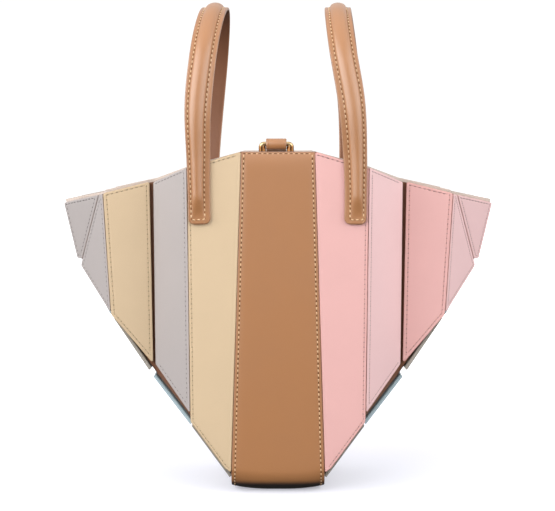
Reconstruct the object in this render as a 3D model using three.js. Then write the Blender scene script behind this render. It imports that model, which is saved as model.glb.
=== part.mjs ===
// A tote bag of folded leather: a pleated shell, open at the top, clad with stiff leather panels,
// with a strip that runs down the front, under the base and up the back, two strap handles that
// run from front to back, and a strap with a ring across the mouth.
// Millimetres, +Z up, the front faces -Y, the bag stands on the plane Z = 0.
import * as THREE from 'three';

const { Vector3 } = THREE;

// Leather thicknesses, and the gaps that neighbouring pieces keep
const PANEL_T = 3.0;
const SHELL_T = 1.4;
const LINING_T = 1.0;
const GAP = 0.4;
const LINING_GAP = 0.6;
const SEAM = 0.4;
const SHELL_DEPTH = PANEL_T + GAP;
const LINING_DEPTH = SHELL_DEPTH + SHELL_T + LINING_GAP;
const INSIDE_DEPTH = LINING_DEPTH + LINING_T;

// Fold lines of the front right quarter, from the strip outwards, on the outer face of the panels.
// depth is the distance in front of the middle plane, and null is worked out to keep the panel flat.
// bend is the radius where the wall turns under, slit the bare leather left beside the fold, and rise
// how far the lining stands above the rim there.
const FOLDS = [
  { name: 'strip', topX: 31, topDepth: 65, topZ: 298.7, lowX: 41, lowDepth: 53, lowZ: 11,
    bend: 22, slitTop: SEAM, slitLow: SEAM, cut: 'mitre', rise: 0 },
  { name: 'ridge', topX: 77.1, topDepth: 69, topZ: 285.3, lowX: 76.2, lowDepth: null, lowZ: 62.3,
    bend: 12, slitTop: SEAM, slitLow: SEAM, cut: 'mitre', rise: 1.6 },
  { name: 'valley', topX: 110, topDepth: 34, topZ: 272.3, lowX: 109.6, lowDepth: null, lowZ: 96,
    bend: 12, slitTop: 2, slitLow: 1.1, cut: 'square', rise: 2.4 },
  { name: 'rib', topX: 151.9, topDepth: 42, topZ: 262.6, lowX: 146.9, lowDepth: null, lowZ: 155.4,
    bend: 12, slitTop: SEAM, slitLow: SEAM, cut: 'mitre', rise: 2.6 },
  { name: 'tuck', topX: 156.2, topDepth: null, topZ: 261, lowX: 179.2, lowDepth: 0, lowZ: 193,
    bend: 0, slitTop: SEAM, slitLow: SEAM, cut: 'mitre', rise: 2.6 },
  { name: 'corner', topX: 192.8, topDepth: 0, topZ: 252.6, lowX: 179.2, lowDepth: 0, lowZ: 193,
    bend: 0, slitTop: SEAM, slitLow: SEAM, cut: 'mitre', rise: 3 },
];

// Panels between two folds. lift is how far the lower corner stops above the end of the fold, round
// the radius of that corner, and blunt how much of the pointed corner by the first fold is cut away.
const PANELS = [
  { name: 'main', from: 'strip', to: 'ridge', liftFrom: 5, liftTo: 3.3, roundFrom: 0.8, roundTo: 2, blunt: 9 },
  { name: 'fold', from: 'ridge', to: 'valley', liftFrom: 11.1, liftTo: 14.7, roundFrom: 0.8, roundTo: 3, blunt: 0 },
  { name: 'outer', from: 'valley', to: 'rib', liftFrom: 14.8, liftTo: 0.8, roundFrom: 1.2, roundTo: 2, blunt: 0 },
  { name: 'wing', from: 'rib', to: 'tuck', liftFrom: 2.3, liftTo: 4.2, roundFrom: 0.8, roundTo: 1, blunt: 0 },
  { name: 'corner', from: 'tuck', to: 'corner', liftFrom: 11, liftTo: 10, roundFrom: 0.6, roundTo: 0.6, blunt: 0 },
];
const TOP_ROUND = 0.8;
const BLUNT_RISE = 0.36;
const BLUNT_ROUND = 4;
const CORNER_STEPS = 4;

// Underside panels between the lower ends of two folds. trim is the bare leather left at each end, or
// less than nothing where the panel stands past the fold, and setBack how far the long edge stays
// behind the face of the front panels.
const UNDER_PANELS = [
  { name: 'base', from: 'strip', to: 'ridge', trimFrom: 3, trimTo: 1.6, setBackFrom: 6.4, setBackTo: 3.8 },
  { name: 'fold', from: 'ridge', to: 'valley', trimFrom: SEAM, trimTo: -2.6, setBackFrom: 3.8, setBackTo: 3.8 },
  { name: 'outer', from: 'valley', to: 'rib', trimFrom: 10.2, trimTo: 4, setBackFrom: 3.8, setBackTo: 3.8 },
  { name: 'wing', from: 'rib', to: 'tuck', trimFrom: SEAM, trimTo: 20, setBackFrom: 3.8, setBackTo: 0 },
];

// The base: flat half width and rise at the edge, of the strip and of the body above it, which curves
// up sooner, then the columns between there and the strip's edge, and the bend's steps
const STRIP_BASE = { flat: 31, rise: 3.5 };
const BODY_BASE = { flat: 27, rise: 11 };
const BASE_COLUMNS = [0, 0.45, 0.8, 1];
const BEND_STEPS = 6;

// Handles: strap widths at the feet and between them, thickness, the rolled rib and its share of the
// width, and the corner radius and plain length at the feet
const FOOT_W = 19;
const STRAP_W = 23;
const WIDEN_FROM = 20;
const WIDEN_TO = 120;
const STRAP_T = 2.6;
const RIB_SHARE = 0.47;
const RIB_H = 4.2;
const RIB_POINTS = 5;
const FOOT_ROUND = 4.5;
const FOOT_PLAIN = 7;
const RIB_TAPER = 12;
const HANDLE_STEPS = 48;
const FOOT_STEPS = [0, 0.12, 0.35, 0.65];

// The line of each handle's inner face, from the front foot over the crown to the back foot.
// depth null lies on the main panel; left and right are distances from the middle of the bag.
const HANDLE_LINE = [
  { depth: null, face: 'front', z: 237.5, left: 66.6, right: 65.6 },
  { depth: null, face: 'front', z: 262, left: 67, right: 65.8 },
  { depth: null, face: 'front', z: 292, left: 67.2, right: 65.2 },
  { depth: 70.5, face: 'front', z: 338, left: 67, right: 61.9 },
  { depth: 60, face: 'front', z: 386, left: 62.2, right: 54.3 },
  { depth: 35, face: 'front', z: 413.5, left: 57.6, right: 51.9 },
  { depth: 0, face: 'front', z: 423, left: 54.9, right: 53.2 },
  { depth: 35, face: 'back', z: 413.5, left: 55.4, right: 57.5 },
  { depth: 60, face: 'back', z: 386, left: 58.1, right: 63.2 },
  { depth: 70.5, face: 'back', z: 338, left: 62.9, right: 68.4 },
  { depth: null, face: 'back', z: 292, left: 65.6, right: 68.4 },
  { depth: null, face: 'back', z: 262, left: 66.2, right: 67 },
  { depth: null, face: 'back', z: 237.5, left: 66.6, right: 65.6 },
];

// Closure: a rectangular ring whose side bars are wider than its wire, the strap looped over its upper
// bar, and its hook
const RING_W = 30;
const RING_H = 24;
const RING_WIRE = 4.2;
const RING_SIDE_EXTRA = 1.9;
const RING_ROUND = 4.6;
const RING_SIDES = 8;
const RING_TOP_Z = 307.4;
const RING_DEPTH = 54.5;
const CLOSURE_X = -1.5;
const LOOP_W = 17.4;
const LOOP_T = 2.3;
const LOOP_STEPS = 16;
const STRAP_SAG = 9;
const STRAP_STEPS = 12;
const STRAP_TAIL = 26;
const STRAP_DROP = 14;
const HOOK_W = 12;
const HOOK_T = 1.6;
const HOOK_RISE = 6;

// Leather and metal finishes
const FINISHES = {
  brown: { color: 0xb9855d, roughness: 0.5, metalness: 0 },
  deep: { color: 0x8a5c42, roughness: 0.55, metalness: 0 },
  lining: { color: 0xcbbfb0, roughness: 0.85, metalness: 0 },
  cream: { color: 0xe2c8a5, roughness: 0.5, metalness: 0 },
  grey: { color: 0xc9c1be, roughness: 0.5, metalness: 0 },
  pink: { color: 0xf0bbb5, roughness: 0.5, metalness: 0 },
  pale: { color: 0xedc7c6, roughness: 0.5, metalness: 0 },
  sage: { color: 0xa7a09a, roughness: 0.5, metalness: 0 },
  blue: { color: 0x8a9da3, roughness: 0.5, metalness: 0 },
  gold: { color: 0xc9a15f, roughness: 0.25, metalness: 1 },
};
const PANEL_FINISH = {
  left: { main: 'cream', fold: 'grey', outer: 'cream', wing: 'grey', corner: 'grey' },
  right: { main: 'pink', fold: 'pale', outer: 'pink', wing: 'pale', corner: 'pale' },
};
const UNDER_FINISH = { base: 'sage', fold: 'blue', outer: 'sage', wing: 'blue' };

const SIDES = [{ name: 'left', sign: -1 }, { name: 'right', sign: 1 }];
const FACES = [{ name: 'front', sign: 1 }, { name: 'back', sign: -1 }];

// Points and planes

function along(a, b, t) {
  return new Vector3().lerpVectors(a, b, t);
}

function moved(p, direction, length) {
  return p.clone().addScaledVector(direction, length);
}

function normalOf(a, b, c) {
  const n = new Vector3().crossVectors(b.clone().sub(a), c.clone().sub(a));
  return n.normalize();
}

// Depth that puts a point, known from the front, in the plane of three others
function yInPlane(a, b, c, p) {
  const n = normalOf(a, b, c);
  return a.y - (n.x * (p.x - a.x) + n.z * (p.z - a.z)) / n.y;
}

// The direction that leaves two planes at the same rate
function mitre(n1, n2) {
  return n1.clone().add(n2).divideScalar(1 + n1.dot(n2));
}

function mirrored(p, xSign, ySign) {
  return new Vector3(p.x * xSign, p.y * ySign, p.z);
}

// Closed solids from triangles

function solid(points, triangles) {
  const seen = new Map();
  const shared = [];
  const places = points.map((p) => {
    const key = [p.x, p.y, p.z].map((v) => Math.round(v * 1e4)).join(',');
    if (!seen.has(key)) {
      seen.set(key, shared.length);
      shared.push(p);
    }
    return seen.get(key);
  });
  const faces = triangles
    .map((t) => t.map((i) => places[i]))
    .filter(([a, b, c]) => a !== b && b !== c && c !== a);
  let volume = 0;
  for (const [a, b, c] of faces) {
    volume += shared[a].dot(new Vector3().crossVectors(shared[b], shared[c]));
  }
  const outward = volume > 0 ? faces : faces.map(([a, b, c]) => [a, c, b]);
  const geometry = new THREE.BufferGeometry();
  geometry.setAttribute('position', new THREE.Float32BufferAttribute(shared.flatMap((p) => p.toArray()), 3));
  geometry.setIndex(outward.flat());
  geometry.computeVertexNormals();
  return geometry;
}

// Loops of equally many points joined one after the other, with flat ends or closed into a ring
function skin(loops, ring = false) {
  const count = loops[0].length;
  const points = loops.flat();
  const triangles = [];
  const last = ring ? loops.length : loops.length - 1;
  for (let i = 0; i < last; i += 1) {
    const here = i * count;
    const next = ((i + 1) % loops.length) * count;
    for (let j = 0; j < count; j += 1) {
      const k = (j + 1) % count;
      triangles.push([here + j, here + k, next + k], [here + j, next + k, next + j]);
    }
  }
  if (!ring) {
    [loops[0], loops[loops.length - 1]].forEach((loop, end) => {
      const middle = points.length;
      points.push(loop.reduce((sum, p) => sum.add(p), new Vector3()).divideScalar(count));
      const start = end * (loops.length - 1) * count;
      for (let j = 0; j < count; j += 1) {
        const k = (j + 1) % count;
        triangles.push(end ? [middle, start + j, start + k] : [middle, start + k, start + j]);
      }
    });
  }
  return solid(points, triangles);
}

// A corner-rounded loop of points in one plane; every corner gives the same number of points
function roundedLoop(corners, radii) {
  const loop = [];
  corners.forEach((p, i) => {
    const toBefore = corners.at(i - 1).clone().sub(p).normalize();
    const toAfter = corners[(i + 1) % corners.length].clone().sub(p).normalize();
    const half = toBefore.angleTo(toAfter) / 2;
    const reach = radii[i] / Math.tan(half);
    const centre = moved(p, toBefore.clone().add(toAfter).normalize(), radii[i] / Math.sin(half));
    const from = moved(p, toBefore, reach).sub(centre);
    const axis = new Vector3().crossVectors(toAfter, toBefore).normalize();
    for (let s = 0; s <= CORNER_STEPS; s += 1) {
      const turn = ((Math.PI - 2 * half) * s) / CORNER_STEPS;
      loop.push(from.clone().applyAxisAngle(axis, turn).add(centre));
    }
  });
  return loop;
}

// Fold lines, with the depths that keep each panel flat

const folds = {};
let inner = null;
for (const row of FOLDS) {
  const top = new Vector3(row.topX, -row.topDepth, row.topZ);
  const low = new Vector3(row.lowX, -row.lowDepth, row.lowZ);
  if (row.lowDepth === null) {
    low.y = yInPlane(inner.top, inner.low, top, low);
  }
  if (row.topDepth === null) {
    top.y = yInPlane(inner.top, inner.low, low, top);
  }
  inner = { ...row, top, low };
  folds[row.name] = inner;
}

function panelNormal(panel) {
  const a = folds[panel.from];
  const b = folds[panel.to];
  const n = normalOf(a.top, a.low, b.top);
  return n.y < 0 ? n : n.negate();
}

// Outward direction at each fold that keeps both of its panels at one depth
const stripDown = folds.strip.low.clone().sub(folds.strip.top).setX(0).normalize();
const stripNormal = new Vector3(0, stripDown.z, -stripDown.y);
const mitres = {};
PANELS.forEach((panel, i) => {
  const before = i ? panelNormal(PANELS[i - 1]) : stripNormal;
  mitres[panel.from] = mitre(before, panelNormal(panel));
});
const cornerNormal = panelNormal(PANELS.at(-1));
mitres.corner = mitre(cornerNormal, mirrored(cornerNormal, 1, -1));

// A flat stiff panel between two folds, on the front right quarter
function panelLoops(panel) {
  const n = panelNormal(panel);
  const ends = [
    { fold: folds[panel.from], other: folds[panel.to], lift: panel.liftFrom },
    { fold: folds[panel.to], other: folds[panel.from], lift: panel.liftTo },
  ];
  const at = (end, low, depth) => {
    const { fold, other, lift } = end;
    const down = fold.low.clone().sub(fold.top);
    const share = low ? 1 - lift / down.length() : 0;
    const inward = new Vector3().crossVectors(n, down).normalize();
    if (inward.dot(other.top.clone().sub(fold.top)) < 0) {
      inward.negate();
    }
    const slit = THREE.MathUtils.lerp(fold.slitTop, fold.slitLow, share);
    const out = fold.cut === 'mitre' ? mitres[fold.name] : n;
    return moved(moved(along(fold.top, fold.low, share), inward, slit), out, -depth);
  };
  return [PANEL_T, 0].map((depth) => {
    const [head, farHead, farFoot, foot] = [
      at(ends[0], false, depth), at(ends[1], false, depth), at(ends[1], true, depth), at(ends[0], true, depth),
    ];
    const corners = [head, farHead, farFoot];
    const radii = [TOP_ROUND, TOP_ROUND, panel.roundTo];
    if (panel.blunt) {
      corners.push(moved(foot, farFoot.clone().sub(foot).normalize(), panel.blunt));
      radii.push(BLUNT_ROUND);
    }
    corners.push(moved(foot, head.clone().sub(foot).normalize(), panel.blunt * BLUNT_RISE));
    radii.push(panel.roundFrom);
    return roundedLoop(corners, radii);
  });
}

// Height of a base's underside, which curves up towards its edges
function baseRise(x, { flat, rise }) {
  const reach = folds.strip.low.x - flat;
  const radius = (reach * reach + rise * rise) / (2 * rise);
  const beyond = Math.max(0, x - flat);
  return radius - Math.sqrt(radius * radius - beyond * beyond);
}

// Outward directions of the slopes under the bag, between the lower ends of the folds
const slopes = UNDER_PANELS.map((panel) => {
  const from = folds[panel.from].low;
  const to = folds[panel.to].low;
  return new Vector3(to.z - from.z, 0, from.x - to.x).normalize();
});

// An underside panel from the front edge to the back edge of one slope
function underLoops(panel, index) {
  const from = folds[panel.from].low;
  const to = folds[panel.to].low;
  const n = slopes[index];
  const length = Math.hypot(to.x - from.x, to.z - from.z);
  const ends = [
    { share: panel.trimFrom / length, setBack: panel.setBackFrom, out: mitre(n, slopes[index - 1] ?? n) },
    { share: 1 - panel.trimTo / length, setBack: panel.setBackTo, out: mitre(n, slopes[index + 1] ?? n) },
  ];
  const corner = (end, depth, ySign) => {
    const p = moved(along(from, to, end.share), end.out, -depth);
    p.y = ySign * (p.y + end.setBack);
    return p;
  };
  return [PANEL_T, 0].map((depth) => [
    corner(ends[0], depth, 1),
    corner(ends[1], depth, 1),
    corner(ends[1], depth, -1),
    corner(ends[0], depth, -1),
  ]);
}

// The bag's outer face as sections across it, each from the front rim round under to the back rim

function section(top, low, bend) {
  const up = top.clone().sub(low).normalize();
  const back = new Vector3(0, 1, 0);
  const half = up.angleTo(back) / 2;
  const reach = Math.min(bend / Math.tan(half), Math.abs(low.y));
  const radius = reach * Math.tan(half);
  const centre = moved(low, up.clone().add(back).normalize(), radius / Math.sin(half));
  const from = moved(low, up, reach).sub(centre);
  const axis = new Vector3().crossVectors(back, up).normalize();
  const front = [top];
  for (let s = 0; s <= BEND_STEPS; s += 1) {
    const turn = ((Math.PI - 2 * half) * s) / BEND_STEPS;
    front.push(from.clone().applyAxisAngle(axis, turn).add(centre));
  }
  return [...front, ...front.toReversed().map((p) => mirrored(p, 1, -1))];
}

// Sections of the right half of the strip, or of the body behind it, from the flat of the base to the edge
function stripSections(base) {
  const { top, low, bend } = folds.strip;
  return BASE_COLUMNS.map((t) => {
    const x = THREE.MathUtils.lerp(base.flat, low.x, t);
    const head = new Vector3((top.x * x) / low.x, top.y, top.z);
    return section(head, new Vector3(x, low.y, baseRise(x, base)), bend);
  });
}

// Sections at the folds beside it, up to the rim or to the top of the lining
function foldSections(toLining) {
  return FOLDS.slice(1).map(({ name, bend, rise }) => {
    const { top, low } = folds[name];
    const up = top.clone().sub(low).normalize();
    return section(moved(top, up, toLining ? rise : 0), low, bend);
  });
}

function bothSides(sections) {
  const left = sections.toReversed().map((line) => line.map((p) => mirrored(p, -1, 1)));
  return [...left, ...sections];
}

const stripFace = bothSides(stripSections(STRIP_BASE));
const shellFace = bothSides([...stripSections(BODY_BASE), ...foldSections(false)]);
const liningFace = bothSides([...stripSections(BODY_BASE), ...foldSections(true)]);

// A sheet with its corners shared, from sections
function sheet(sections) {
  const seen = new Map();
  const points = [];
  const place = (p) => {
    const key = [p.x, p.y, p.z].map((v) => Math.round(v * 1e3)).join(',');
    if (!seen.has(key)) {
      seen.set(key, points.length);
      points.push(p);
    }
    return seen.get(key);
  };
  const grid = sections.map((line) => line.map(place));
  const triangles = [];
  for (let i = 0; i + 1 < grid.length; i += 1) {
    for (let j = 0; j + 1 < grid[i].length; j += 1) {
      const [a, b, c, d] = [grid[i][j], grid[i][j + 1], grid[i + 1][j + 1], grid[i + 1][j]];
      triangles.push([a, b, c], [a, c, d]);
    }
  }
  return { points, triangles: triangles.filter(([a, b, c]) => a !== b && b !== c && c !== a) };
}

// Where each point of an outward sheet goes when every face around it moves in by the same depth
const SAME_FACE = 0.9995;
const STEADY = 1e-4;
function inset({ points, triangles }, depth) {
  const around = points.map(() => []);
  for (const t of triangles) {
    const n = normalOf(...t.map((i) => points[i]));
    for (const i of t) {
      if (!around[i].some((other) => other.dot(n) > SAME_FACE)) {
        around[i].push(n);
      }
    }
  }
  return points.map((p, i) => {
    const m = new THREE.Matrix3().set(STEADY, 0, 0, 0, STEADY, 0, 0, 0, STEADY);
    const e = m.elements;
    const sum = new Vector3();
    for (const n of around[i]) {
      const v = n.toArray();
      v.forEach((a, r) => v.forEach((b, c) => {
        e[c * 3 + r] += a * b;
      }));
      sum.add(n);
    }
    return moved(p, sum.applyMatrix3(m.invert()), -depth);
  });
}

// A wall between two depths behind a sheet, closed along the sheet's open edges
function wall(sections, outerDepth, innerDepth) {
  const face = sheet(sections);
  const count = face.points.length;
  const points = [...inset(face, outerDepth), ...inset(face, innerDepth)];
  const triangles = [];
  const open = new Map();
  for (const [p, q, r] of face.triangles) {
    triangles.push([p, q, r], [p + count, r + count, q + count]);
    for (const [s, e] of [[p, q], [q, r], [r, p]]) {
      if (!open.delete(`${e},${s}`)) {
        open.set(`${s},${e}`, [s, e]);
      }
    }
  }
  for (const [s, e] of open.values()) {
    triangles.push([e, s, s + count], [e, s + count, e + count]);
  }
  return solid(points, triangles);
}

// Strap handles with a rolled rib along the middle

function onMainPanel(x, z) {
  const { strip, ridge } = folds;
  const n = panelNormal(PANELS[0]);
  const y = yInPlane(strip.top, strip.low, ridge.top, new Vector3(x, 0, z));
  return y + GAP / n.y;
}

function handlePath(side) {
  return new THREE.CatmullRomCurve3(HANDLE_LINE.map((row) => {
    const x = row[side.name];
    const y = row.depth === null ? onMainPanel(x, row.z) : -row.depth;
    return new Vector3(x * side.sign, row.face === 'front' ? y : -y, row.z);
  }));
}

function strapSection(width, rib) {
  const half = width / 2;
  const ribHalf = half * RIB_SHARE;
  const line = [[-half, 0], [half, 0], [half, STRAP_T], [ribHalf, STRAP_T]];
  for (let i = 1; i <= RIB_POINTS; i += 1) {
    const turn = (Math.PI * i) / (RIB_POINTS + 1);
    line.push([ribHalf * Math.cos(turn), STRAP_T + RIB_H * rib * Math.sin(turn)]);
  }
  line.push([-ribHalf, STRAP_T], [-half, STRAP_T]);
  return line;
}

function handle(side) {
  const path = handlePath(side);
  const length = path.getLength();
  const stops = [];
  FOOT_STEPS.forEach((t) => stops.push(t * FOOT_ROUND));
  for (let i = 0; i <= HANDLE_STEPS; i += 1) {
    stops.push(THREE.MathUtils.lerp(FOOT_ROUND, length - FOOT_ROUND, i / HANDLE_STEPS));
  }
  FOOT_STEPS.toReversed().forEach((t) => stops.push(length - t * FOOT_ROUND));
  const loops = stops.map((s) => {
    const p = path.getPointAt(s / length);
    const t = path.getTangentAt(s / length);
    const free = new Vector3().crossVectors(new Vector3(1, 0, 0), t).normalize();
    const flat = mirrored(panelNormal(PANELS[0]), side.sign, s < length / 2 ? 1 : -1);
    const lifted = THREE.MathUtils.smoothstep(p.z, HANDLE_LINE[2].z, HANDLE_LINE[3].z);
    const out = flat.lerp(free, lifted).projectOnPlane(t).normalize();
    const across = new Vector3().crossVectors(t, out);
    const toFoot = Math.min(s, length - s);
    const round = Math.max(0, FOOT_ROUND - toFoot);
    const full = THREE.MathUtils.lerp(FOOT_W, STRAP_W, THREE.MathUtils.smoothstep(toFoot, WIDEN_FROM, WIDEN_TO));
    const width = full - 2 * (FOOT_ROUND - Math.sqrt(FOOT_ROUND * FOOT_ROUND - round * round));
    const rib = THREE.MathUtils.smoothstep(toFoot, FOOT_PLAIN, FOOT_PLAIN + RIB_TAPER);
    return strapSection(width, rib).map(([u, v]) => moved(moved(p, across, u), out, v));
  });
  return skin(loops);
}

// Closure across the mouth

function ringPath(halfW, halfH, radius) {
  const corners = [[-1, -1], [1, -1], [1, 1], [-1, 1]].map(([x, z]) => new Vector3(x * halfW, 0, z * halfH));
  return roundedLoop(corners, corners.map(() => radius));
}

function closureRing() {
  const wire = RING_WIRE / 2;
  const path = ringPath(RING_W / 2 - wire, RING_H / 2 - wire, RING_ROUND - wire);
  const loops = path.map((p, i) => {
    const t = path[(i + 1) % path.length].clone().sub(path.at(i - 1)).normalize();
    const side = new Vector3(0, 1, 0);
    const out = new Vector3().crossVectors(t, side);
    return Array.from({ length: RING_SIDES }, (_, k) => {
      const turn = (2 * Math.PI * (k + 0.5)) / RING_SIDES;
      const round = moved(moved(p, side, wire * Math.cos(turn)), out, wire * Math.sin(turn));
      round.x += RING_SIDE_EXTRA * out.x * Math.max(0, Math.sin(turn));
      return round;
    });
  });
  return skin(loops, true).translate(CLOSURE_X, -RING_DEPTH, RING_TOP_Z - RING_H / 2);
}

// Outline of a closure piece, seen from the side, made as wide as given; its x is depth, y height
function acrossBag(shape, width) {
  const geometry = new THREE.ExtrudeGeometry(shape, { depth: width, bevelEnabled: false, curveSegments: 1 });
  geometry.translate(0, 0, CLOSURE_X - width / 2);
  return geometry.applyMatrix4(new THREE.Matrix4().set(0, 0, 1, 0, 1, 0, 0, 0, 0, 1, 0, 0, 0, 0, 0, 1));
}

// Two layers of leather from the loop on the ring, sagging across the mouth, down the back lining
function closureStrap() {
  const bar = new THREE.Vector2(-RING_DEPTH, RING_TOP_Z - RING_WIRE / 2);
  const holeR = RING_WIRE / 2 + GAP;
  const loopR = holeR + LOOP_T;
  const leave = Math.asin(LOOP_T / loopR);
  const onCircle = (radius, turn) => new THREE.Vector2(
    bar.x + radius * Math.cos(turn),
    bar.y + radius * Math.sin(turn),
  );
  const end = new THREE.Vector2(
    -folds.strip.top.y - INSIDE_DEPTH - GAP - 2 * LOOP_T,
    folds.strip.top.z - STRAP_DROP,
  );
  const line = [];
  for (let i = 1; i <= STRAP_STEPS; i += 1) {
    const t = i / STRAP_STEPS;
    const p = new THREE.Vector2(bar.x + loopR, bar.y).lerp(end, t);
    p.y -= STRAP_SAG * Math.sin(Math.PI * t) ** 2;
    line.push(p);
  }
  const wallLean = (folds.strip.top.y - folds.strip.low.y) / (folds.strip.top.z - folds.strip.low.z);
  for (const drop of [STRAP_TAIL / 2, STRAP_TAIL]) {
    line.push(new THREE.Vector2(end.x + wallLean * drop, end.y - drop));
  }
  const sideOf = (sign) => line.map((p, i) => {
    const a = line[Math.max(0, i - 1)];
    const b = line[Math.min(line.length - 1, i + 1)];
    const across = b.clone().sub(a).normalize().rotateAround(new THREE.Vector2(), Math.PI / 2);
    return p.clone().addScaledVector(across, sign * LOOP_T);
  });
  const outline = sideOf(-1).toReversed();
  for (let i = 0; i <= LOOP_STEPS; i += 1) {
    outline.push(onCircle(loopR, -leave - ((2 * Math.PI - 2 * leave) * i) / LOOP_STEPS));
  }
  outline.push(...sideOf(1));
  const shape = new THREE.Shape(outline);
  const hole = Array.from({ length: LOOP_STEPS }, (_, i) => onCircle(holeR, (2 * Math.PI * i) / LOOP_STEPS));
  shape.holes.push(new THREE.Path(hole));
  return acrossBag(shape, LOOP_W);
}

// A plain plate on the lining with a lip that carries the ring's lower bar
function closureHook() {
  const floor = RING_TOP_Z - RING_H - GAP;
  const wallY = folds.strip.top.y + INSIDE_DEPTH + GAP + 1;
  const lipY = -RING_DEPTH + RING_WIRE / 2 + GAP;
  const shape = new THREE.Shape([
    new THREE.Vector2(wallY, floor - 2 * HOOK_RISE),
    new THREE.Vector2(wallY + HOOK_T, floor - 2 * HOOK_RISE),
    new THREE.Vector2(wallY + HOOK_T, floor - HOOK_T),
    new THREE.Vector2(lipY + HOOK_T, floor - HOOK_T),
    new THREE.Vector2(lipY + HOOK_T, floor + HOOK_RISE),
    new THREE.Vector2(lipY, floor + HOOK_RISE),
    new THREE.Vector2(lipY, floor),
    new THREE.Vector2(wallY, floor),
  ]);
  return acrossBag(shape, HOOK_W);
}

// The whole bag

const bag = new THREE.Group();

function addPiece(name, geometry, finish) {
  const mesh = new THREE.Mesh(geometry, new THREE.MeshStandardMaterial(FINISHES[finish]));
  mesh.name = name;
  bag.add(mesh);
}

addPiece('body_shell', wall(shellFace, SHELL_DEPTH, SHELL_DEPTH + SHELL_T), 'deep');
addPiece('body_lining', wall(liningFace, LINING_DEPTH, INSIDE_DEPTH), 'lining');
addPiece('centre_strip', wall(stripFace, 0, PANEL_T), 'brown');

for (const face of FACES) {
  for (const side of SIDES) {
    for (const panel of PANELS) {
      const loops = panelLoops(panel).map((loop) => loop.map((p) => mirrored(p, side.sign, face.sign)));
      addPiece(`${face.name}_${side.name}_${panel.name}`, skin(loops), PANEL_FINISH[side.name][panel.name]);
    }
  }
}

for (const side of SIDES) {
  UNDER_PANELS.forEach((panel, i) => {
    const loops = underLoops(panel, i).map((loop) => loop.map((p) => mirrored(p, side.sign, 1)));
    addPiece(`under_${side.name}_${panel.name}`, skin(loops), UNDER_FINISH[panel.name]);
  });
  addPiece(`handle_${side.name}`, handle(side), 'brown');
}

addPiece('closure_ring', closureRing(), 'gold');
addPiece('closure_strap', closureStrap(), 'brown');
addPiece('closure_hook', closureHook(), 'gold');

export default bag;
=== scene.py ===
"""Looks of a tote bag of folded leather panels, built on the frame of its solids.

Flat panels get turned edges, a seam groove and real stitches. The strip, the handles, the closure
and the soft walls are made again with finer sections. Metres, +Z up, the front faces -Y.
"""

import logging
import math
from dataclasses import dataclass, field
from enum import Enum
from typing import Any, Sequence

import bmesh
import bpy
import numpy as np
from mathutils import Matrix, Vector, geometry, noise


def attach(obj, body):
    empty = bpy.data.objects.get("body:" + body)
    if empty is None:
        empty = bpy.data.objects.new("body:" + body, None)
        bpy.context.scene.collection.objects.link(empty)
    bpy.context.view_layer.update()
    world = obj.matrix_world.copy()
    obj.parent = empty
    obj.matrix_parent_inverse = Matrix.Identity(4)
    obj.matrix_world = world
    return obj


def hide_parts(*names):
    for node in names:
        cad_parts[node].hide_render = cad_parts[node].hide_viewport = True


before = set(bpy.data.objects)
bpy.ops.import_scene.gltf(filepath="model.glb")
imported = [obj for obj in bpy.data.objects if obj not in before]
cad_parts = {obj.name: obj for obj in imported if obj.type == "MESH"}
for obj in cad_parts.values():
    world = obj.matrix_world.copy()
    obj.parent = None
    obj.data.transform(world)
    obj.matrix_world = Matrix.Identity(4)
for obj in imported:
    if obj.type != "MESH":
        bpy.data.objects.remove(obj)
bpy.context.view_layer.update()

LOG = logging.getLogger("tote_bag")
MM = 0.001
ROOT = "root"
BAG_MIDDLE = np.array((0.0, 0.0, 0.17))
ACROSS, BACKWARD, UPWARD = np.eye(3)
MIRRORED = np.array((-1.0, 1.0, 1.0, 1.0))
IN_MM = np.array((MM, MM, 1.0, 1.0))

Colour = tuple[float, float, float, float]
Points = np.ndarray
Socket = bpy.types.NodeSocket


def srgb(red: int, green: int, blue: int) -> Colour:
    """Turns an eight-bit screen colour into the linear colour that shaders take."""
    shares = [value / 255 for value in (red, green, blue)]
    linear = [s / 12.92 if s <= 0.04045 else ((s + 0.055) / 1.055) ** 2.4 for s in shares]
    return (linear[0], linear[1], linear[2], 1.0)


def scaled(colour: Colour, share: float) -> Colour:
    """Returns a colour made darker or lighter by one factor, kept below white."""
    return tuple(min(1.0, value * share) for value in colour[:3]) + (1.0,)


def unit(vectors: Points) -> Points:
    """Returns vectors at length one, along the last axis."""
    return vectors / np.linalg.norm(vectors, axis=-1, keepdims=True)


def smoothstep(value: float, start: float, end: float) -> float:
    """Returns 0 before start, 1 after end and a smooth rise between them."""
    share = min(1.0, max(0.0, (value - start) / (end - start)))
    return share * share * (3 - 2 * share)


def run_of(line: Points) -> Points:
    """Returns the distance from the start of a line at each of its points, for one line or for many."""
    steps = np.linalg.norm(np.diff(line, axis=-2), axis=-1)
    return np.concatenate((np.zeros_like(steps[..., :1]), np.cumsum(steps, axis=-1)), axis=-1)


def along(where: Points, run: Points, values: Points) -> Points:
    """Returns values that are known at the distances of a run at other distances of it."""
    return np.stack([np.interp(where, run, column) for column in values.T], axis=-1)


class Leather(Enum):
    """The leathers of the bag, by the slot that each one fills."""

    TAN = "tan_leather"
    BROWN = "brown_leather"
    CREAM = "cream_leather"
    GREY = "grey_leather"
    PINK = "pink_leather"
    PALE_PINK = "pale_pink_leather"
    SAGE = "sage_leather"
    BLUE = "blue_leather"


class Side(Enum):
    """The four sides of a panel, seen from outside."""

    INNER = "inner"
    OUTER = "outer"
    TOP = "top"
    LOW = "low"


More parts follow.
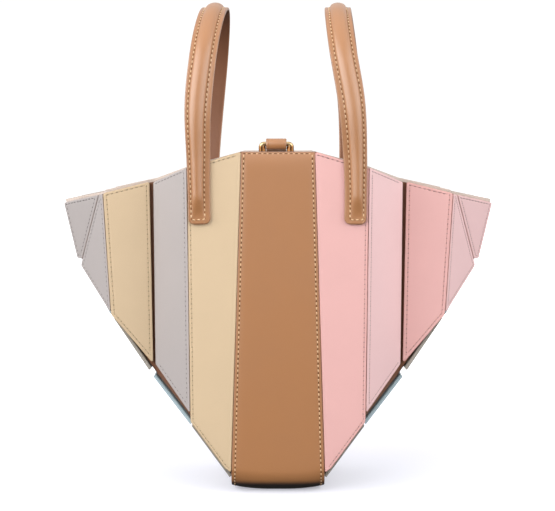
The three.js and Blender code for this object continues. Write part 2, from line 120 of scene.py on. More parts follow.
class NodeTree:
    """Adds nodes to a shader tree with few words."""

    def __init__(self, tree: bpy.types.NodeTree) -> None:
        """Takes the tree to add to, and empties it."""
        self.tree = tree
        tree.nodes.clear()

    def add(self, kind: str, inputs: dict[Any, Any] | None = None, **settings: Any) -> bpy.types.Node:
        """Adds one node.

        Args:
            kind: The node's type, without its ShaderNode prefix.
            inputs: Values or output sockets for its inputs, by name or number.
            settings: Properties of the node itself.

        Returns:
            The new node.
        """
        node = self.tree.nodes.new(kind if kind.startswith("NodeGroup") else f"ShaderNode{kind}")
        for name, value in settings.items():
            setattr(node, name, value)
        self.feed(node, inputs or {})
        return node

    def feed(self, node: bpy.types.Node, inputs: dict[Any, Any]) -> None:
        """Links sockets to a node's inputs, and sets the inputs that get a plain value."""
        for name, value in inputs.items():
            if isinstance(value, Socket):
                self.tree.links.new(value, node.inputs[name])
            else:
                node.inputs[name].default_value = value

    def place(self) -> Socket:
        """Returns the place on the piece, in metres."""
        return self.add("TexCoord").outputs["Object"]

    def height(self, place: Socket) -> Socket:
        """Returns the height of a place."""
        return self.add("SeparateXYZ", {0: place}).outputs["Z"]

    def noise(self, place: Socket, scale: Any, detail: float, roughness: float = 0.5) -> Socket:
        """Returns soft noise over a place, from 0 to 1."""
        inputs = {"Vector": place, "Scale": scale, "Detail": detail, "Roughness": roughness}
        return self.add("TexNoise", inputs).outputs["Fac"]

    def mix(self, share: Any, first: Any, second: Any) -> Socket:
        """Returns a mix of two colours."""
        return self.add("Mix", {0: share, 6: first, 7: second}, data_type="RGBA").outputs[2]

    def maths(self, operation: str, first: Any, second: Any) -> Socket:
        """Returns one sum of two values."""
        return self.add("Math", {0: first, 1: second}, operation=operation).outputs[0]

    def spread(
        self, value: Any, low: Any, high: Any, to_low: Any, to_high: Any, way: str = "LINEAR",
    ) -> Socket:
        """Returns a value mapped from one range to another, and held at its ends."""
        inputs = {0: value, 1: low, 2: high, 3: to_low, 4: to_high}
        return self.add("MapRange", inputs, interpolation_type=way).outputs[0]

    def bump(self, height: Socket, strength: float, distance: float) -> Socket:
        """Returns normals that are tilted by a height."""
        inputs = {"Height": height, "Strength": strength, "Distance": distance}
        return self.add("Bump", inputs).outputs["Normal"]

    def principled(self, inputs: dict[str, Any]) -> None:
        """Adds the material's shader and joins it to the output."""
        shader = self.add("BsdfPrincipled", inputs)
        self.add("OutputMaterial", {"Surface": shader.outputs["BSDF"]})


def new_material(name: str) -> tuple[bpy.types.Material, NodeTree]:
    """Starts a material, and returns it with its empty tree."""
    made = bpy.data.materials.new(name)
    made.use_nodes = True
    return made, NodeTree(made.node_tree)


class ShaderGroups:
    """The effects that several finishes share, each one a node group that is built once."""

    def __init__(self) -> None:
        """Builds every group."""
        self.hide = self._hide()
        self.masks = self._masks()
        self.nap = self._nap()
        self.polish = self._polish()

    def _start(
        self, name: str, colours: Sequence[str], values: Sequence[str], made: Sequence[str],
    ) -> tuple[NodeTree, Any, bpy.types.Node]:
        """Starts a group with named sockets.

        Args:
            name: The group's name.
            colours: The inputs that are colours.
            values: The inputs that are values.
            made: The outputs besides the colour, all values.

        Returns:
            The tree, the sockets of its inputs and the node for its outputs.
        """
        group = bpy.data.node_groups.new(name, "ShaderNodeTree")
        tree = NodeTree(group)
        for way, kind, sockets in (
            ("INPUT", "Color", colours), ("INPUT", "Float", values),
            ("OUTPUT", "Color", ("Colour",)), ("OUTPUT", "Float", made),
        ):
            for socket in sockets:
                group.interface.new_socket(socket, in_out=way, socket_type=f"NodeSocket{kind}")
        return tree, tree.add("NodeGroupInput").outputs, tree.add("NodeGroupOutput")

    def _hide(self) -> bpy.types.NodeTree:
        """Builds leather grain: fine pebbles, pores and a slow drift of the dye."""
        tree, given, made = self._start(
            "hide_grain", ("Face", "Shade"), ("Smoothest", "Roughest", "Scale"), ("Roughness", "Height")
        )
        place = tree.place()
        pebble = tree.add(
            "TexVoronoi", {"Vector": place, "Scale": given["Scale"]}, feature="DISTANCE_TO_EDGE"
        )
        pores = tree.noise(place, tree.maths("MULTIPLY", given["Scale"], 2.7), 2.0)
        drift = tree.noise(place, 17.0, 5.0, 0.6)
        cells = tree.spread(pebble.outputs["Distance"], 0.0, 0.32, 0.0, 1.0)
        slow = tree.spread(drift, 0.32, 0.68, 0.0, 0.75)
        fine = tree.spread(cells, 0.0, 1.0, 0.25, 0.0)
        share = tree.maths("ADD", slow, fine)
        tree.feed(made, {
            "Colour": tree.mix(share, given["Face"], given["Shade"]),
            "Roughness": tree.spread(share, 0.0, 1.0, given["Smoothest"], given["Roughest"]),
            "Height": tree.maths("ADD", cells, tree.maths("MULTIPLY", pores, 0.5)),
        })
        return tree.tree

    def _masks(self) -> bpy.types.NodeTree:
        """Builds painted, worn edges, painted shade along the pressed seam lines and a painted shadow close
        to the floor.
        """
        tree, given, made = self._start(
            "edges_and_seams", ("Colour", "Edge", "Crease", "Dark"), ("Wear", "Painted Shadow Below"), ()
        )
        place = tree.place()
        # Painted shadow: below a height, and fully below half of it, the colour turns to the Dark colour.
        darkest = tree.maths("MULTIPLY", given["Painted Shadow Below"], 0.5)
        low = tree.spread(tree.height(place), darkest, given["Painted Shadow Below"], 1.0, 0.0, "SMOOTHSTEP")
        edge, crease = (
            tree.add("Attribute", attribute_name=mask).outputs["Fac"] for mask in ("edge", "crease")
        )
        broken = tree.spread(tree.noise(place, 240.0, 4.0), 0.35, 0.65, 0.0, given["Wear"])
        kept = tree.maths("MULTIPLY", edge, tree.maths("SUBTRACT", 1.0, broken))
        # Painted shade: the seam grooves turn to the slightly darker Crease colour.
        seamed = tree.mix(crease, given["Colour"], given["Crease"])
        painted = tree.mix(kept, seamed, given["Edge"])
        tree.feed(made, {"Colour": tree.mix(low, painted, given["Dark"])})
        return tree.tree

    def _nap(self) -> bpy.types.NodeTree:
        """Builds a short brushed nap, for the lining and for thread."""
        tree, given, made = self._start("short_nap", ("Face", "Shade"), ("Scale",), ("Height",))
        place = tree.place()
        fibre = tree.noise(place, given["Scale"], 6.0, 0.7)
        cloud = tree.noise(place, tree.maths("MULTIPLY", given["Scale"], 0.03), 3.0)
        share = tree.spread(tree.maths("ADD", fibre, cloud), 0.7, 1.3, 0.0, 1.0)
        tree.feed(made, {"Colour": tree.mix(share, given["Face"], given["Shade"]), "Height": fibre})
        return tree.tree

    def _polish(self) -> bpy.types.NodeTree:
        """Builds plated metal: faint clouding, fine rubbing marks and a painted shade and brown reflection
        low down.
        """
        tree, given, made = self._start(
            "rubbed_plating", ("Face", "Shade", "Deep"), ("Smoothest", "Roughest", "Painted Shade Low", "Painted Shade High"),
            ("Roughness", "Height"),
        )
        place = tree.place()
        # Painted shade and brown reflection: below a height the colour turns to the Deep colour.
        below = tree.spread(tree.height(place), given["Painted Shade Low"], given["Painted Shade High"], 1.0, 0.0)
        drawn = tree.add("Mapping", {"Vector": place, "Scale": (90.0, 2600.0, 2600.0)})
        marks = tree.noise(drawn.outputs["Vector"], 1.0, 3.0)
        share = tree.spread(tree.noise(place, 160.0, 4.0), 0.35, 0.65, 0.0, 1.0)
        colour = tree.mix(share, given["Face"], given["Shade"])
        tree.feed(made, {
            "Colour": tree.mix(below, colour, given["Deep"]),
            "Roughness": tree.spread(marks, 0.3, 0.7, given["Smoothest"], given["Roughest"]),
            "Height": marks,
        })
        return tree.tree


@dataclass(frozen=True)
class LeatherFinish:
    """One dyed leather, with its painted edge and its thread."""

    leather: Leather
    face: Colour
    edge: Colour
    thread: Colour
    # The needle holes are painted shade: the face colour scaled by this share.
    hole_share: float = 0.66
    shade_share: float = 0.95
    # The seam grooves and the rib's foot take this darker share of the face, painted shade.
    crease_share: float = 0.97
    smoothest: float = 0.46
    roughest: float = 0.6
    grain_scale: float = 900.0
    grain_depth: float = 0.12
    grain_height: float = 0.4 * MM
    wear: float = 0.35
    specular: float = 0.5
    coat: float = 0.0
    coat_ior: float = 1.7
    sheen: float = 0.04
    # A painted shadow: below the height in the next field the leather turns to this dark colour; a height
    # near zero leaves it out.
    dark: Colour = (0.016, 0.008, 0.006, 1.0)
    painted_shadow_below: float = 0.01 * MM

    def material(self, groups: ShaderGroups) -> bpy.types.Material:
        """Builds the leather's material.

        Args:
            groups: The shared node groups.

        Returns:
            The material.
        """
        made, tree = new_material(self.leather.value)
        hide = tree.add("Group", {
            "Face": self.face, "Shade": scaled(self.face, self.shade_share), "Scale": self.grain_scale,
            "Smoothest": self.smoothest, "Roughest": self.roughest,
        }, node_tree=groups.hide)
        # Edge paint, with painted shade in the seam grooves and a painted shadow close to the floor.
        masks = tree.add("Group", {
            "Colour": hide.outputs["Colour"], "Edge": self.edge, "Wear": self.wear,
            "Crease": scaled(self.face, self.crease_share), "Dark": self.dark, "Painted Shadow Below": self.painted_shadow_below,
        }, node_tree=groups.masks)
        tree.principled({
            "Base Color": masks.outputs["Colour"],
            "Roughness": hide.outputs["Roughness"],
            "Normal": tree.bump(hide.outputs["Height"], self.grain_depth, self.grain_height),
            "Specular IOR Level": self.specular,
            "Coat Weight": self.coat,
            "Coat Roughness": self.smoothest,
            "Coat IOR": self.coat_ior,
            "Sheen Weight": self.sheen,
        })
        return made


@dataclass(frozen=True)
class NapFinish:
    """A matt finish of short fibres."""

    name: str
    face: Colour
    shade: Colour
    scale: float = 700.0
    roughness: float = 0.85
    depth: float = 0.3
    sheen: float = 0.2
    height: float = 0.4 * MM

    def material(self, groups: ShaderGroups) -> bpy.types.Material:
        """Builds the material from the shared groups and returns it."""
        made, tree = new_material(self.name)
        inputs = {"Face": self.face, "Shade": self.shade, "Scale": self.scale}
        nap = tree.add("Group", inputs, node_tree=groups.nap)
        tree.principled({
            "Base Color": nap.outputs["Colour"],
            "Roughness": self.roughness,
            "Normal": tree.bump(nap.outputs["Height"], self.depth, self.height),
            "Sheen Weight": self.sheen,
        })
        return made


@dataclass(frozen=True)
class MetalFinish:
    """Plated metal, with a painted shade and brown reflection below a height."""

    name: str
    face: Colour
    shade: Colour
    deep: Colour
    painted_shade_low: float
    painted_shade_high: float
    smoothest: float
    roughest: float
    depth: float = 0.04
    height: float = 0.1 * MM

    def material(self, groups: ShaderGroups) -> bpy.types.Material:
        """Builds the material from the shared groups and returns it."""
        made, tree = new_material(self.name)
        polish = tree.add("Group", {
            "Face": self.face, "Shade": self.shade, "Smoothest": self.smoothest, "Roughest": self.roughest,
            "Deep": self.deep, "Painted Shade Low": self.painted_shade_low, "Painted Shade High": self.painted_shade_high,
        }, node_tree=groups.polish)
        tree.principled({
            "Base Color": polish.outputs["Colour"],
            "Roughness": polish.outputs["Roughness"],
            "Normal": tree.bump(polish.outputs["Height"], self.depth, self.height),
            "Metallic": 1.0,
        })
        return made


LEATHERS: dict[Leather, LeatherFinish] = {
    finish.leather: finish
    for finish in (
        # Tan is darkened to a painted shadow below 12.5 mm, where the strip turns under onto the floor.
        LeatherFinish(
            Leather.TAN, srgb(172, 117, 71), srgb(150, 103, 70), srgb(228, 192, 150),
            hole_share=0.42, smoothest=0.38, roughest=0.48, specular=0.75, coat=0.55, painted_shadow_below=12.5 * MM,
        ),
        # Brown is the tan leather made darker as painted shade: the shell in the slits and the handles'
        # undersides take it.
        LeatherFinish(Leather.BROWN, srgb(120, 77, 52), srgb(130, 85, 58), srgb(140, 96, 72)),
        LeatherFinish(Leather.CREAM, srgb(215, 190, 156), srgb(192, 162, 126), srgb(200, 172, 136)),
        LeatherFinish(Leather.GREY, srgb(174, 166, 164), srgb(176, 162, 156), srgb(182, 174, 172)),
        LeatherFinish(Leather.PINK, srgb(226, 176, 172), srgb(206, 146, 134), srgb(210, 156, 146)),
        LeatherFinish(Leather.PALE_PINK, srgb(234, 197, 197), srgb(202, 160, 154), srgb(202, 166, 164)),
        LeatherFinish(Leather.SAGE, srgb(180, 174, 166), srgb(170, 164, 154), srgb(152, 146, 136)),
        LeatherFinish(Leather.BLUE, srgb(134, 155, 165), srgb(144, 162, 168), srgb(134, 152, 160)),
    )
}
LINING = NapFinish("lining", srgb(206, 192, 182), srgb(192, 176, 164))
# Gold; its deep colour is painted shade and brown reflection, from 305.2 mm down to 303 mm.
GOLD = MetalFinish(
    "gold_metal", srgb(236, 206, 160), srgb(222, 188, 138), srgb(134, 92, 56),
    painted_shade_low=303.0 * MM, painted_shade_high=305.2 * MM, smoothest=0.24, roughest=0.36,
)


@dataclass
class Finishes:
    """Every material of the bag, built once; a leather is sewn with thread and holes, plain ones first."""

    fibre_scale: float = 2600.0
    thread_shade: float = 0.85
    # The needle holes are painted shade: the leather's colour darkened by these shares.
    hole_shade: float = 0.8
    soft_thread: tuple[Colour, Colour] = (srgb(236, 205, 164), srgb(222, 189, 147))
    soft_hole_share: float = 0.8
    leather: dict[Leather, bpy.types.Material] = field(default_factory=dict)
    sewn: dict[Leather, list[bpy.types.Material]] = field(default_factory=dict)

    def __post_init__(self) -> None:
        """Builds the shared groups and the materials."""
        self.groups = ShaderGroups()
        for leather, finish in LEATHERS.items():
            self.leather[leather] = finish.material(self.groups)
            shades = (finish.thread, scaled(finish.thread, self.thread_shade))
            self.sewn[leather] = self.seam(leather.name.lower(), shades, finish.face, finish.hole_share)
        face = LEATHERS[Leather.TAN].face
        self.sewn[Leather.TAN] += self.seam("handle", self.soft_thread, face, self.soft_hole_share)
        self.lining = LINING.material(self.groups)
        self.gold = GOLD.material(self.groups)

    def seam(
        self, name: str, thread: tuple[Colour, Colour], face: Colour, share: float,
    ) -> list[bpy.types.Material]:
        """Builds the materials of one kind of seam.

        Args:
            name: What it is called after.
            thread: The thread's two colours.
            face: The leather's colour.
            share: How bright the needle holes, which are painted shade, are beside the leather.

        Returns:
            The materials of the thread and of the holes.
        """
        hole = (scaled(face, share), scaled(face, share * self.hole_shade))
        finishes = (
            NapFinish(f"thread_{name}", *thread, self.fibre_scale, roughness=0.6, depth=0.2),
            NapFinish(f"hole_{name}", *hole, self.fibre_scale, roughness=0.9, depth=0.1, sheen=0.0),
        )
        return [finish.material(self.groups) for finish in finishes]


class PieceMesh:
    """Gathers the points, faces and masks of one piece before it becomes an object."""

    def __init__(self) -> None:
        """Starts with nothing."""
        self.points: list[Points] = []
        self.faces: list[list[int]] = []
        self.masks: list[Points] = []
        self.finish: list[int] = []
        self.count = 0

    def add(self, points: Points, faces: Points, masks: Any = (0.0, 0.0), finish: Any = 0) -> None:
        """Adds points and the faces between them.

        Args:
            points: Places, one row each.
            faces: Rows of point numbers, counted from these points.
            masks: Masks of the painted edge and of the seam line, one pair or one for each point.
            finish: Which of the piece's materials the faces take, one number or one for each face.
        """
        flat = np.asarray(points, float).reshape(-1, 3)
        self.points.append(flat)
        self.faces.extend((np.asarray(faces) + self.count).tolist())
        self.masks.append(np.broadcast_to(np.asarray(masks, float).reshape(-1, 2), (len(flat), 2)))
        self.finish.extend(np.broadcast_to(finish, len(faces)).tolist())
        self.count += len(flat)

    def loft(self, rings: Points, masks: Points, finish: Any = 0) -> None:
        """Adds a closed form through rings of equally many points, with its two ends filled.

        Args:
            rings: Places, by ring and by point round the ring.
            masks: Masks of the painted edge and of the seam line, with the same rows and columns.
            finish: Which of the piece's materials the faces take, one number or one for each column.
        """
        rows, columns, _ = rings.shape
        number = np.arange(rows * columns).reshape(rows, columns)
        after = np.roll(number, -1, axis=1)
        quads = np.stack((number[:-1], after[:-1], after[1:], number[1:]), axis=-1).reshape(-1, 4)
        base = self.count
        self.add(rings, quads, masks, np.broadcast_to(finish, (rows - 1, columns)).reshape(-1))
        for row, turn in ((0, -1), (rows - 1, 1)):
            middle = self.count - base
            here, there = (number[row], after[row])[::turn]
            fan = np.stack((here, there, np.full(columns, middle)), axis=-1)
            self.add(rings[row].mean(axis=0), fan - middle, masks[row].mean(axis=0))

    def build(
        self, name: str, slot: str, materials: Sequence[bpy.types.Material], nodes: Sequence[str] = (),
    ) -> bpy.types.Object:
        """Makes the object, dresses it and puts it on the bag's one body.

        Args:
            name: The piece's name.
            slot: The record's material slot.
            materials: Its materials, in the order that the faces number them.
            nodes: The solids that it stands for.

        Returns:
            The new object.
        """
        mesh = bpy.data.meshes.new(name)
        mesh.from_pydata(np.concatenate(self.points).tolist(), [], self.faces)
        for mask, values in zip(("edge", "crease"), np.concatenate(self.masks).T):
            layer = mesh.attributes.new(mask, "FLOAT", "POINT")
            layer.data.foreach_set("value", values.astype(np.float32))
        for material in materials:
            mesh.materials.append(material)
        mesh.polygons.foreach_set("material_index", self.finish)
        mesh.polygons.foreach_set("use_smooth", [True] * len(mesh.polygons))
        mesh.update()
        return place(mesh, slot, nodes)


def place(mesh: bpy.types.Mesh, slot: str, nodes: Sequence[str] = ()) -> bpy.types.Object:
    """Makes a piece of a mesh, and links it to the scene and to the bag's one body.

    Args:
        mesh: The piece's mesh, which gives it its name.
        slot: The record's material slot; not used.
        nodes: The solids that it stands for.

    Returns:
        The new object.
    """
    piece = bpy.data.objects.new(mesh.name, mesh)
    bpy.context.scene.collection.objects.link(piece)
    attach(piece, ROOT)
    if nodes:
        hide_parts(*nodes)
    LOG.info("%s: %d faces", piece.name, len(mesh.polygons))
    return piece


def turn_outward(piece: bpy.types.Object) -> None:
    """Makes every face of a closed piece look outward."""
    form = bmesh.new()
    form.from_mesh(piece.data)
    bmesh.ops.recalc_face_normals(form, faces=form.faces)
    form.to_mesh(piece.data)
    form.free()
    piece.data.update()


@dataclass(frozen=True)
class Stitch:
    """The form of one stitch and of the needle hole between two of them."""

    length: float
    width: float
    rise: float
    hole_length: float
    hole_width: float
    hole_lift: float
    hole_crown: float = 0.02 * MM
    hole_depth: float = 0.25 * MM
    sink: float = 0.3 * MM
    sides: int = 6
    hole_sides: int = 8
    stations: tuple[tuple[float, float], ...] = (
        (-1.0, 0.45), (-0.8, 0.85), (-0.4, 1.0), (0.0, 1.0), (0.4, 1.0), (0.8, 0.85), (1.0, 0.45),
    )

    def thread(self) -> tuple[Points, list[list[int]]]:
        """Builds the closed form of the thread along X, bedded in the plane Z = 0.

        Returns:
            Its points and its triangles.
        """
        sides = self.sides
        turns = np.arange(sides) * 2 * math.pi / sides
        points = []
        for where, fullness in self.stations:
            lift = self.rise * 0.5 - (self.rise * 0.5 + self.sink) * where ** 4
            points.append(np.stack((
                np.full(sides, where * self.length / 2),
                np.cos(turns) * self.width / 2 * fullness,
                lift + np.sin(turns) * self.rise * 0.75 * fullness,
            ), axis=-1))
        last = (len(self.stations) - 1) * sides
        faces = []
        for row in range(0, last, sides):
            for side in range(sides):
                here, there = row + side, row + (side + 1) % sides
                faces += [[here, here + sides, there + sides], [here, there + sides, there]]
        for side in range(1, sides - 1):
            faces += [[0, side, side + 1], [last, last + side + 1, last + side]]
        return np.concatenate(points), faces

    def hole(self, middle: float) -> tuple[Points, list[list[int]]]:
        """Builds the closed, lens-shaped plug of one needle hole, a dark patch that paints the hole's shade.

        Args:
            middle: Where it is along X.

        Returns:
            Its points and its triangles.
        """
        sides = self.hole_sides
        turns = np.arange(sides) * 2 * math.pi / sides
        rim = np.stack((
            middle + np.cos(turns) * self.hole_length / 2,
            np.sin(turns) * self.hole_width / 2,
            np.full(sides, self.hole_lift),
        ), axis=-1)
        ends = np.array(((middle, 0.0, self.hole_lift + self.hole_crown), (middle, 0.0, -self.hole_depth)))
        faces = []
        for here in range(sides):
            there = (here + 1) % sides
            faces += [[here, there, sides], [there, here, sides + 1]]
        return np.concatenate((rim, ends)), faces


@dataclass
class Stitching:
    """Every row of stitches, gathered by leather, with real thread and a needle hole between stitches."""

    finishes: Finishes
    pitch: float = 4.2 * MM
    slant: float = math.radians(5)
    reach: float = 1.26 * MM
    bold: Stitch = Stitch(2.4 * MM, 1.0 * MM, 0.42 * MM, 2.0 * MM, 1.2 * MM, 0.13 * MM)
    fine: Stitch = Stitch(2.5 * MM, 0.7 * MM, 0.26 * MM, 1.8 * MM, 1.1 * MM, 0.055 * MM)
    tight: Stitch = Stitch(1.7 * MM, 0.7 * MM, 0.26 * MM, 2.7 * MM, 1.2 * MM, 0.07 * MM)
    rows: dict[Leather, PieceMesh] = field(default_factory=dict)

    def sew(
        self, leather: Leather, line: Points, normals: Points, rim: bool = False, soft: bool = False,
    ) -> None:
        """Sews one row along a line that lies on a surface.

        Args:
            leather: The leather that carries the row.
            line: The line's points.
            normals: The surface's outward direction at each of them.
            rim: True along the bag's mouth, where the thread is pulled tight.
            soft: True for the rows with paler thread and with needle holes painted with less shade.
        """
        run = run_of(line)
        count = int(run[-1] / self.pitch)
        if count < 1:
            return
        stops = (np.arange(count) + 0.5) * run[-1] / count
        middle = along(stops, run, line)
        later = along(np.minimum(stops + self.reach, run[-1]), run, line)
        ahead = unit(later - along(np.maximum(stops - self.reach, 0), run, line))
        up = along(stops, run, normals)
        up = unit(up - ahead * np.sum(up * ahead, axis=1, keepdims=True))
        across = np.cross(up, ahead)
        slanted = ahead * math.cos(self.slant) + across * math.sin(self.slant)
        row = self.rows.setdefault(leather, PieceMesh())
        stitch = self.tight if rim else self.bold if leather is Leather.TAN else self.fine
        thread, hole = (2, 3) if soft else (0, 1)
        for (points, faces), finish, forward, sideways in (
            (stitch.thread(), thread, slanted, np.cross(up, slanted)),
            (stitch.hole(self.pitch / 2), hole, ahead, across),
        ):
            axes = np.stack((forward, sideways, up), axis=1)
            numbers = np.asarray(faces)[None] + (np.arange(count) * len(points))[:, None, None]
            row.add(middle[:, None] + points @ axes, numbers.reshape(-1, 3), finish=finish)

    def build(self) -> None:
        """Makes one joined piece for each leather."""
        for leather, row in self.rows.items():
            row.build(f"stitching_{leather.name.lower()}", leather.value, self.finishes.sewn[leather])


@dataclass
class Workshop:
    """What the leather pieces are made with: the materials and the gathered stitches."""

    finishes: Finishes
    stitching: Stitching

    def make(
        self, name: str, node: str, leathers: Sequence[Leather], rings: Any, masks: Any, finish: Any = 0,
    ) -> None:
        """Makes one leather piece through rings of points.

        Args:
            name: The piece's name.
            node: The solid that it stands for.
            leathers: Its leathers, in the order that the faces number them; the first's slot is passed on,
                unused.
            rings: Places, by ring and by point round the ring.
            masks: Masks of the painted edge and of the seam line, with the same rows and columns.
            finish: Which of its leathers the faces take, one number or one for each column.
        """
        mesh = PieceMesh()
        mesh.loft(np.asarray(rings), np.asarray(masks), finish)
        materials = [self.finishes.leather[leather] for leather in leathers]
        turn_outward(mesh.build(name, leathers[0].value, materials, [node]))


class PanelFace:
    """The two faces of one flat solid panel, as outlines in the plane of the outer one."""

    tolerance = 0.01 * MM
    steep = 1.2
    low_slope = -0.45

    def __init__(self, node: str) -> None:
        """Reads the outlines from a node of the frame."""
        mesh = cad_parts[node].data
        mesh.calc_loop_triangles()
        points = np.array([tuple(v.co) for v in mesh.vertices])
        corners = points[np.array([tuple(t.vertices) for t in mesh.loop_triangles])]
        facing = np.cross(corners[:, 1] - corners[:, 0], corners[:, 2] - corners[:, 0])
        outward = np.sum(facing * (corners.mean(axis=1) - BAG_MIDDLE), axis=1) > 0
        biggest = np.argmax(np.linalg.norm(facing, axis=1) * outward)
        self.normal = unit(facing[biggest])
        heights = points @ self.normal
        self.thickness = float(heights.max() - heights.min())
        self.up = unit(UPWARD - self.normal * (UPWARD @ self.normal))
        self.across = np.cross(self.up, self.normal)
        face = points[heights > heights.max() - self.tolerance]
        self.middle = (face.min(axis=0) + face.max(axis=0)) / 2
        self.middle += self.normal * (heights.max() - self.middle @ self.normal)
        self.outline = self._outline(face)
        self.back = self._outline(points[heights < heights.min() + self.tolerance])

    def _outline(self, points: Points) -> Points:
        """Returns the corners of a face, in order round it, in the panel's own two axes."""
        flat = np.stack(((points - self.middle) @ self.across, (points - self.middle) @ self.up), axis=-1)
        return flat[geometry.convex_hull_2d([Vector(p) for p in flat])]

    @staticmethod
    def _limits(outline: Points) -> tuple[Points, Points]:
        """Returns the outward direction and the distance of every side of an outline."""
        ahead = np.roll(outline, -1, axis=0) - outline
        kept = np.linalg.norm(ahead, axis=1) > 1e-7
        ahead, start = ahead[kept], outline[kept]
        outward = unit(np.stack((ahead[:, 1], -ahead[:, 0]), axis=-1))
        if np.sum(outward * start) < 0:
            outward = -outward
        return outward, np.sum(outward * start, axis=1)

    def rays(self, step: float, fine: float, near: float) -> Points:
        """Finds directions from the middle to points that go round the outline.

        Args:
            step: The distance between those points along a side.
            fine: Their distance close to a corner.
            near: How far that closeness reaches.

        Returns:
            The directions, in the panel's own two axes.
        """
        rows = []
        for here, there in zip(self.outline, np.roll(self.outline, -1, axis=0)):
            length = float(np.linalg.norm(there - here))
            if length < fine:
                continue
            if length < 2 * near + step:
                stops = np.linspace(0.0, length, max(2, round(length / fine)), endpoint=False)
            else:
                close = np.linspace(0.0, near, round(near / fine), endpoint=False)
                plain = np.linspace(near, length - near, round((length - 2 * near) / step) + 1)
                stops = np.concatenate((close, plain, length - close[:0:-1]))
            rows.append(here + (there - here) * (stops / length)[:, None])
        return unit(np.concatenate(rows))

    def shares(self, top: float) -> Points:
        """Returns how far each side is drawn in for every unit of inset: one, or another share at the top."""
        outward, _ = self._limits(self.outline)
        return np.array([top if self.side_of(o) is Side.TOP else 1.0 for o in outward])

    def reach(self, outline: Points, rays: Points, inset: Any) -> tuple[Points, Points]:
        """Finds where rays meet an outline that is drawn in.

        Args:
            outline: The outline.
            rays: Directions from the middle.
            inset: How far it is drawn in, one distance or one for each side.

        Returns:
            The distance along each ray, and the outward direction of the side that it meets.
        """
        outward, distance = self._limits(outline)
        slope = rays @ outward.T
        lengths = np.where(slope > 1e-6, (distance - inset) / np.maximum(slope, 1e-6), np.inf)
        met = np.argmin(lengths, axis=1)
        return lengths[np.arange(len(rays)), met], outward[met]

    def lift(self, flat: Points, height: float) -> Points:
        """Returns points of the panel's own axes, at one height over its face, in the bag's frame."""
        return self.middle + flat[:, :1] * self.across + flat[:, 1:] * self.up + self.normal * height

    def side_of(self, outward: Points) -> Side:
        """Names the side of the panel that looks along a direction of its own axes."""
        world = outward[0] * self.across + outward[1] * self.up
        away = 1.0 if self.middle[0] > 0 else -1.0
        if abs(world[2]) > abs(world[0]) * self.steep:
            return Side.TOP if world[2] > 0 else Side.LOW
        if world[0] * away > 0:
            return Side.LOW if world[2] < self.low_slope else Side.OUTER
        return Side.INNER


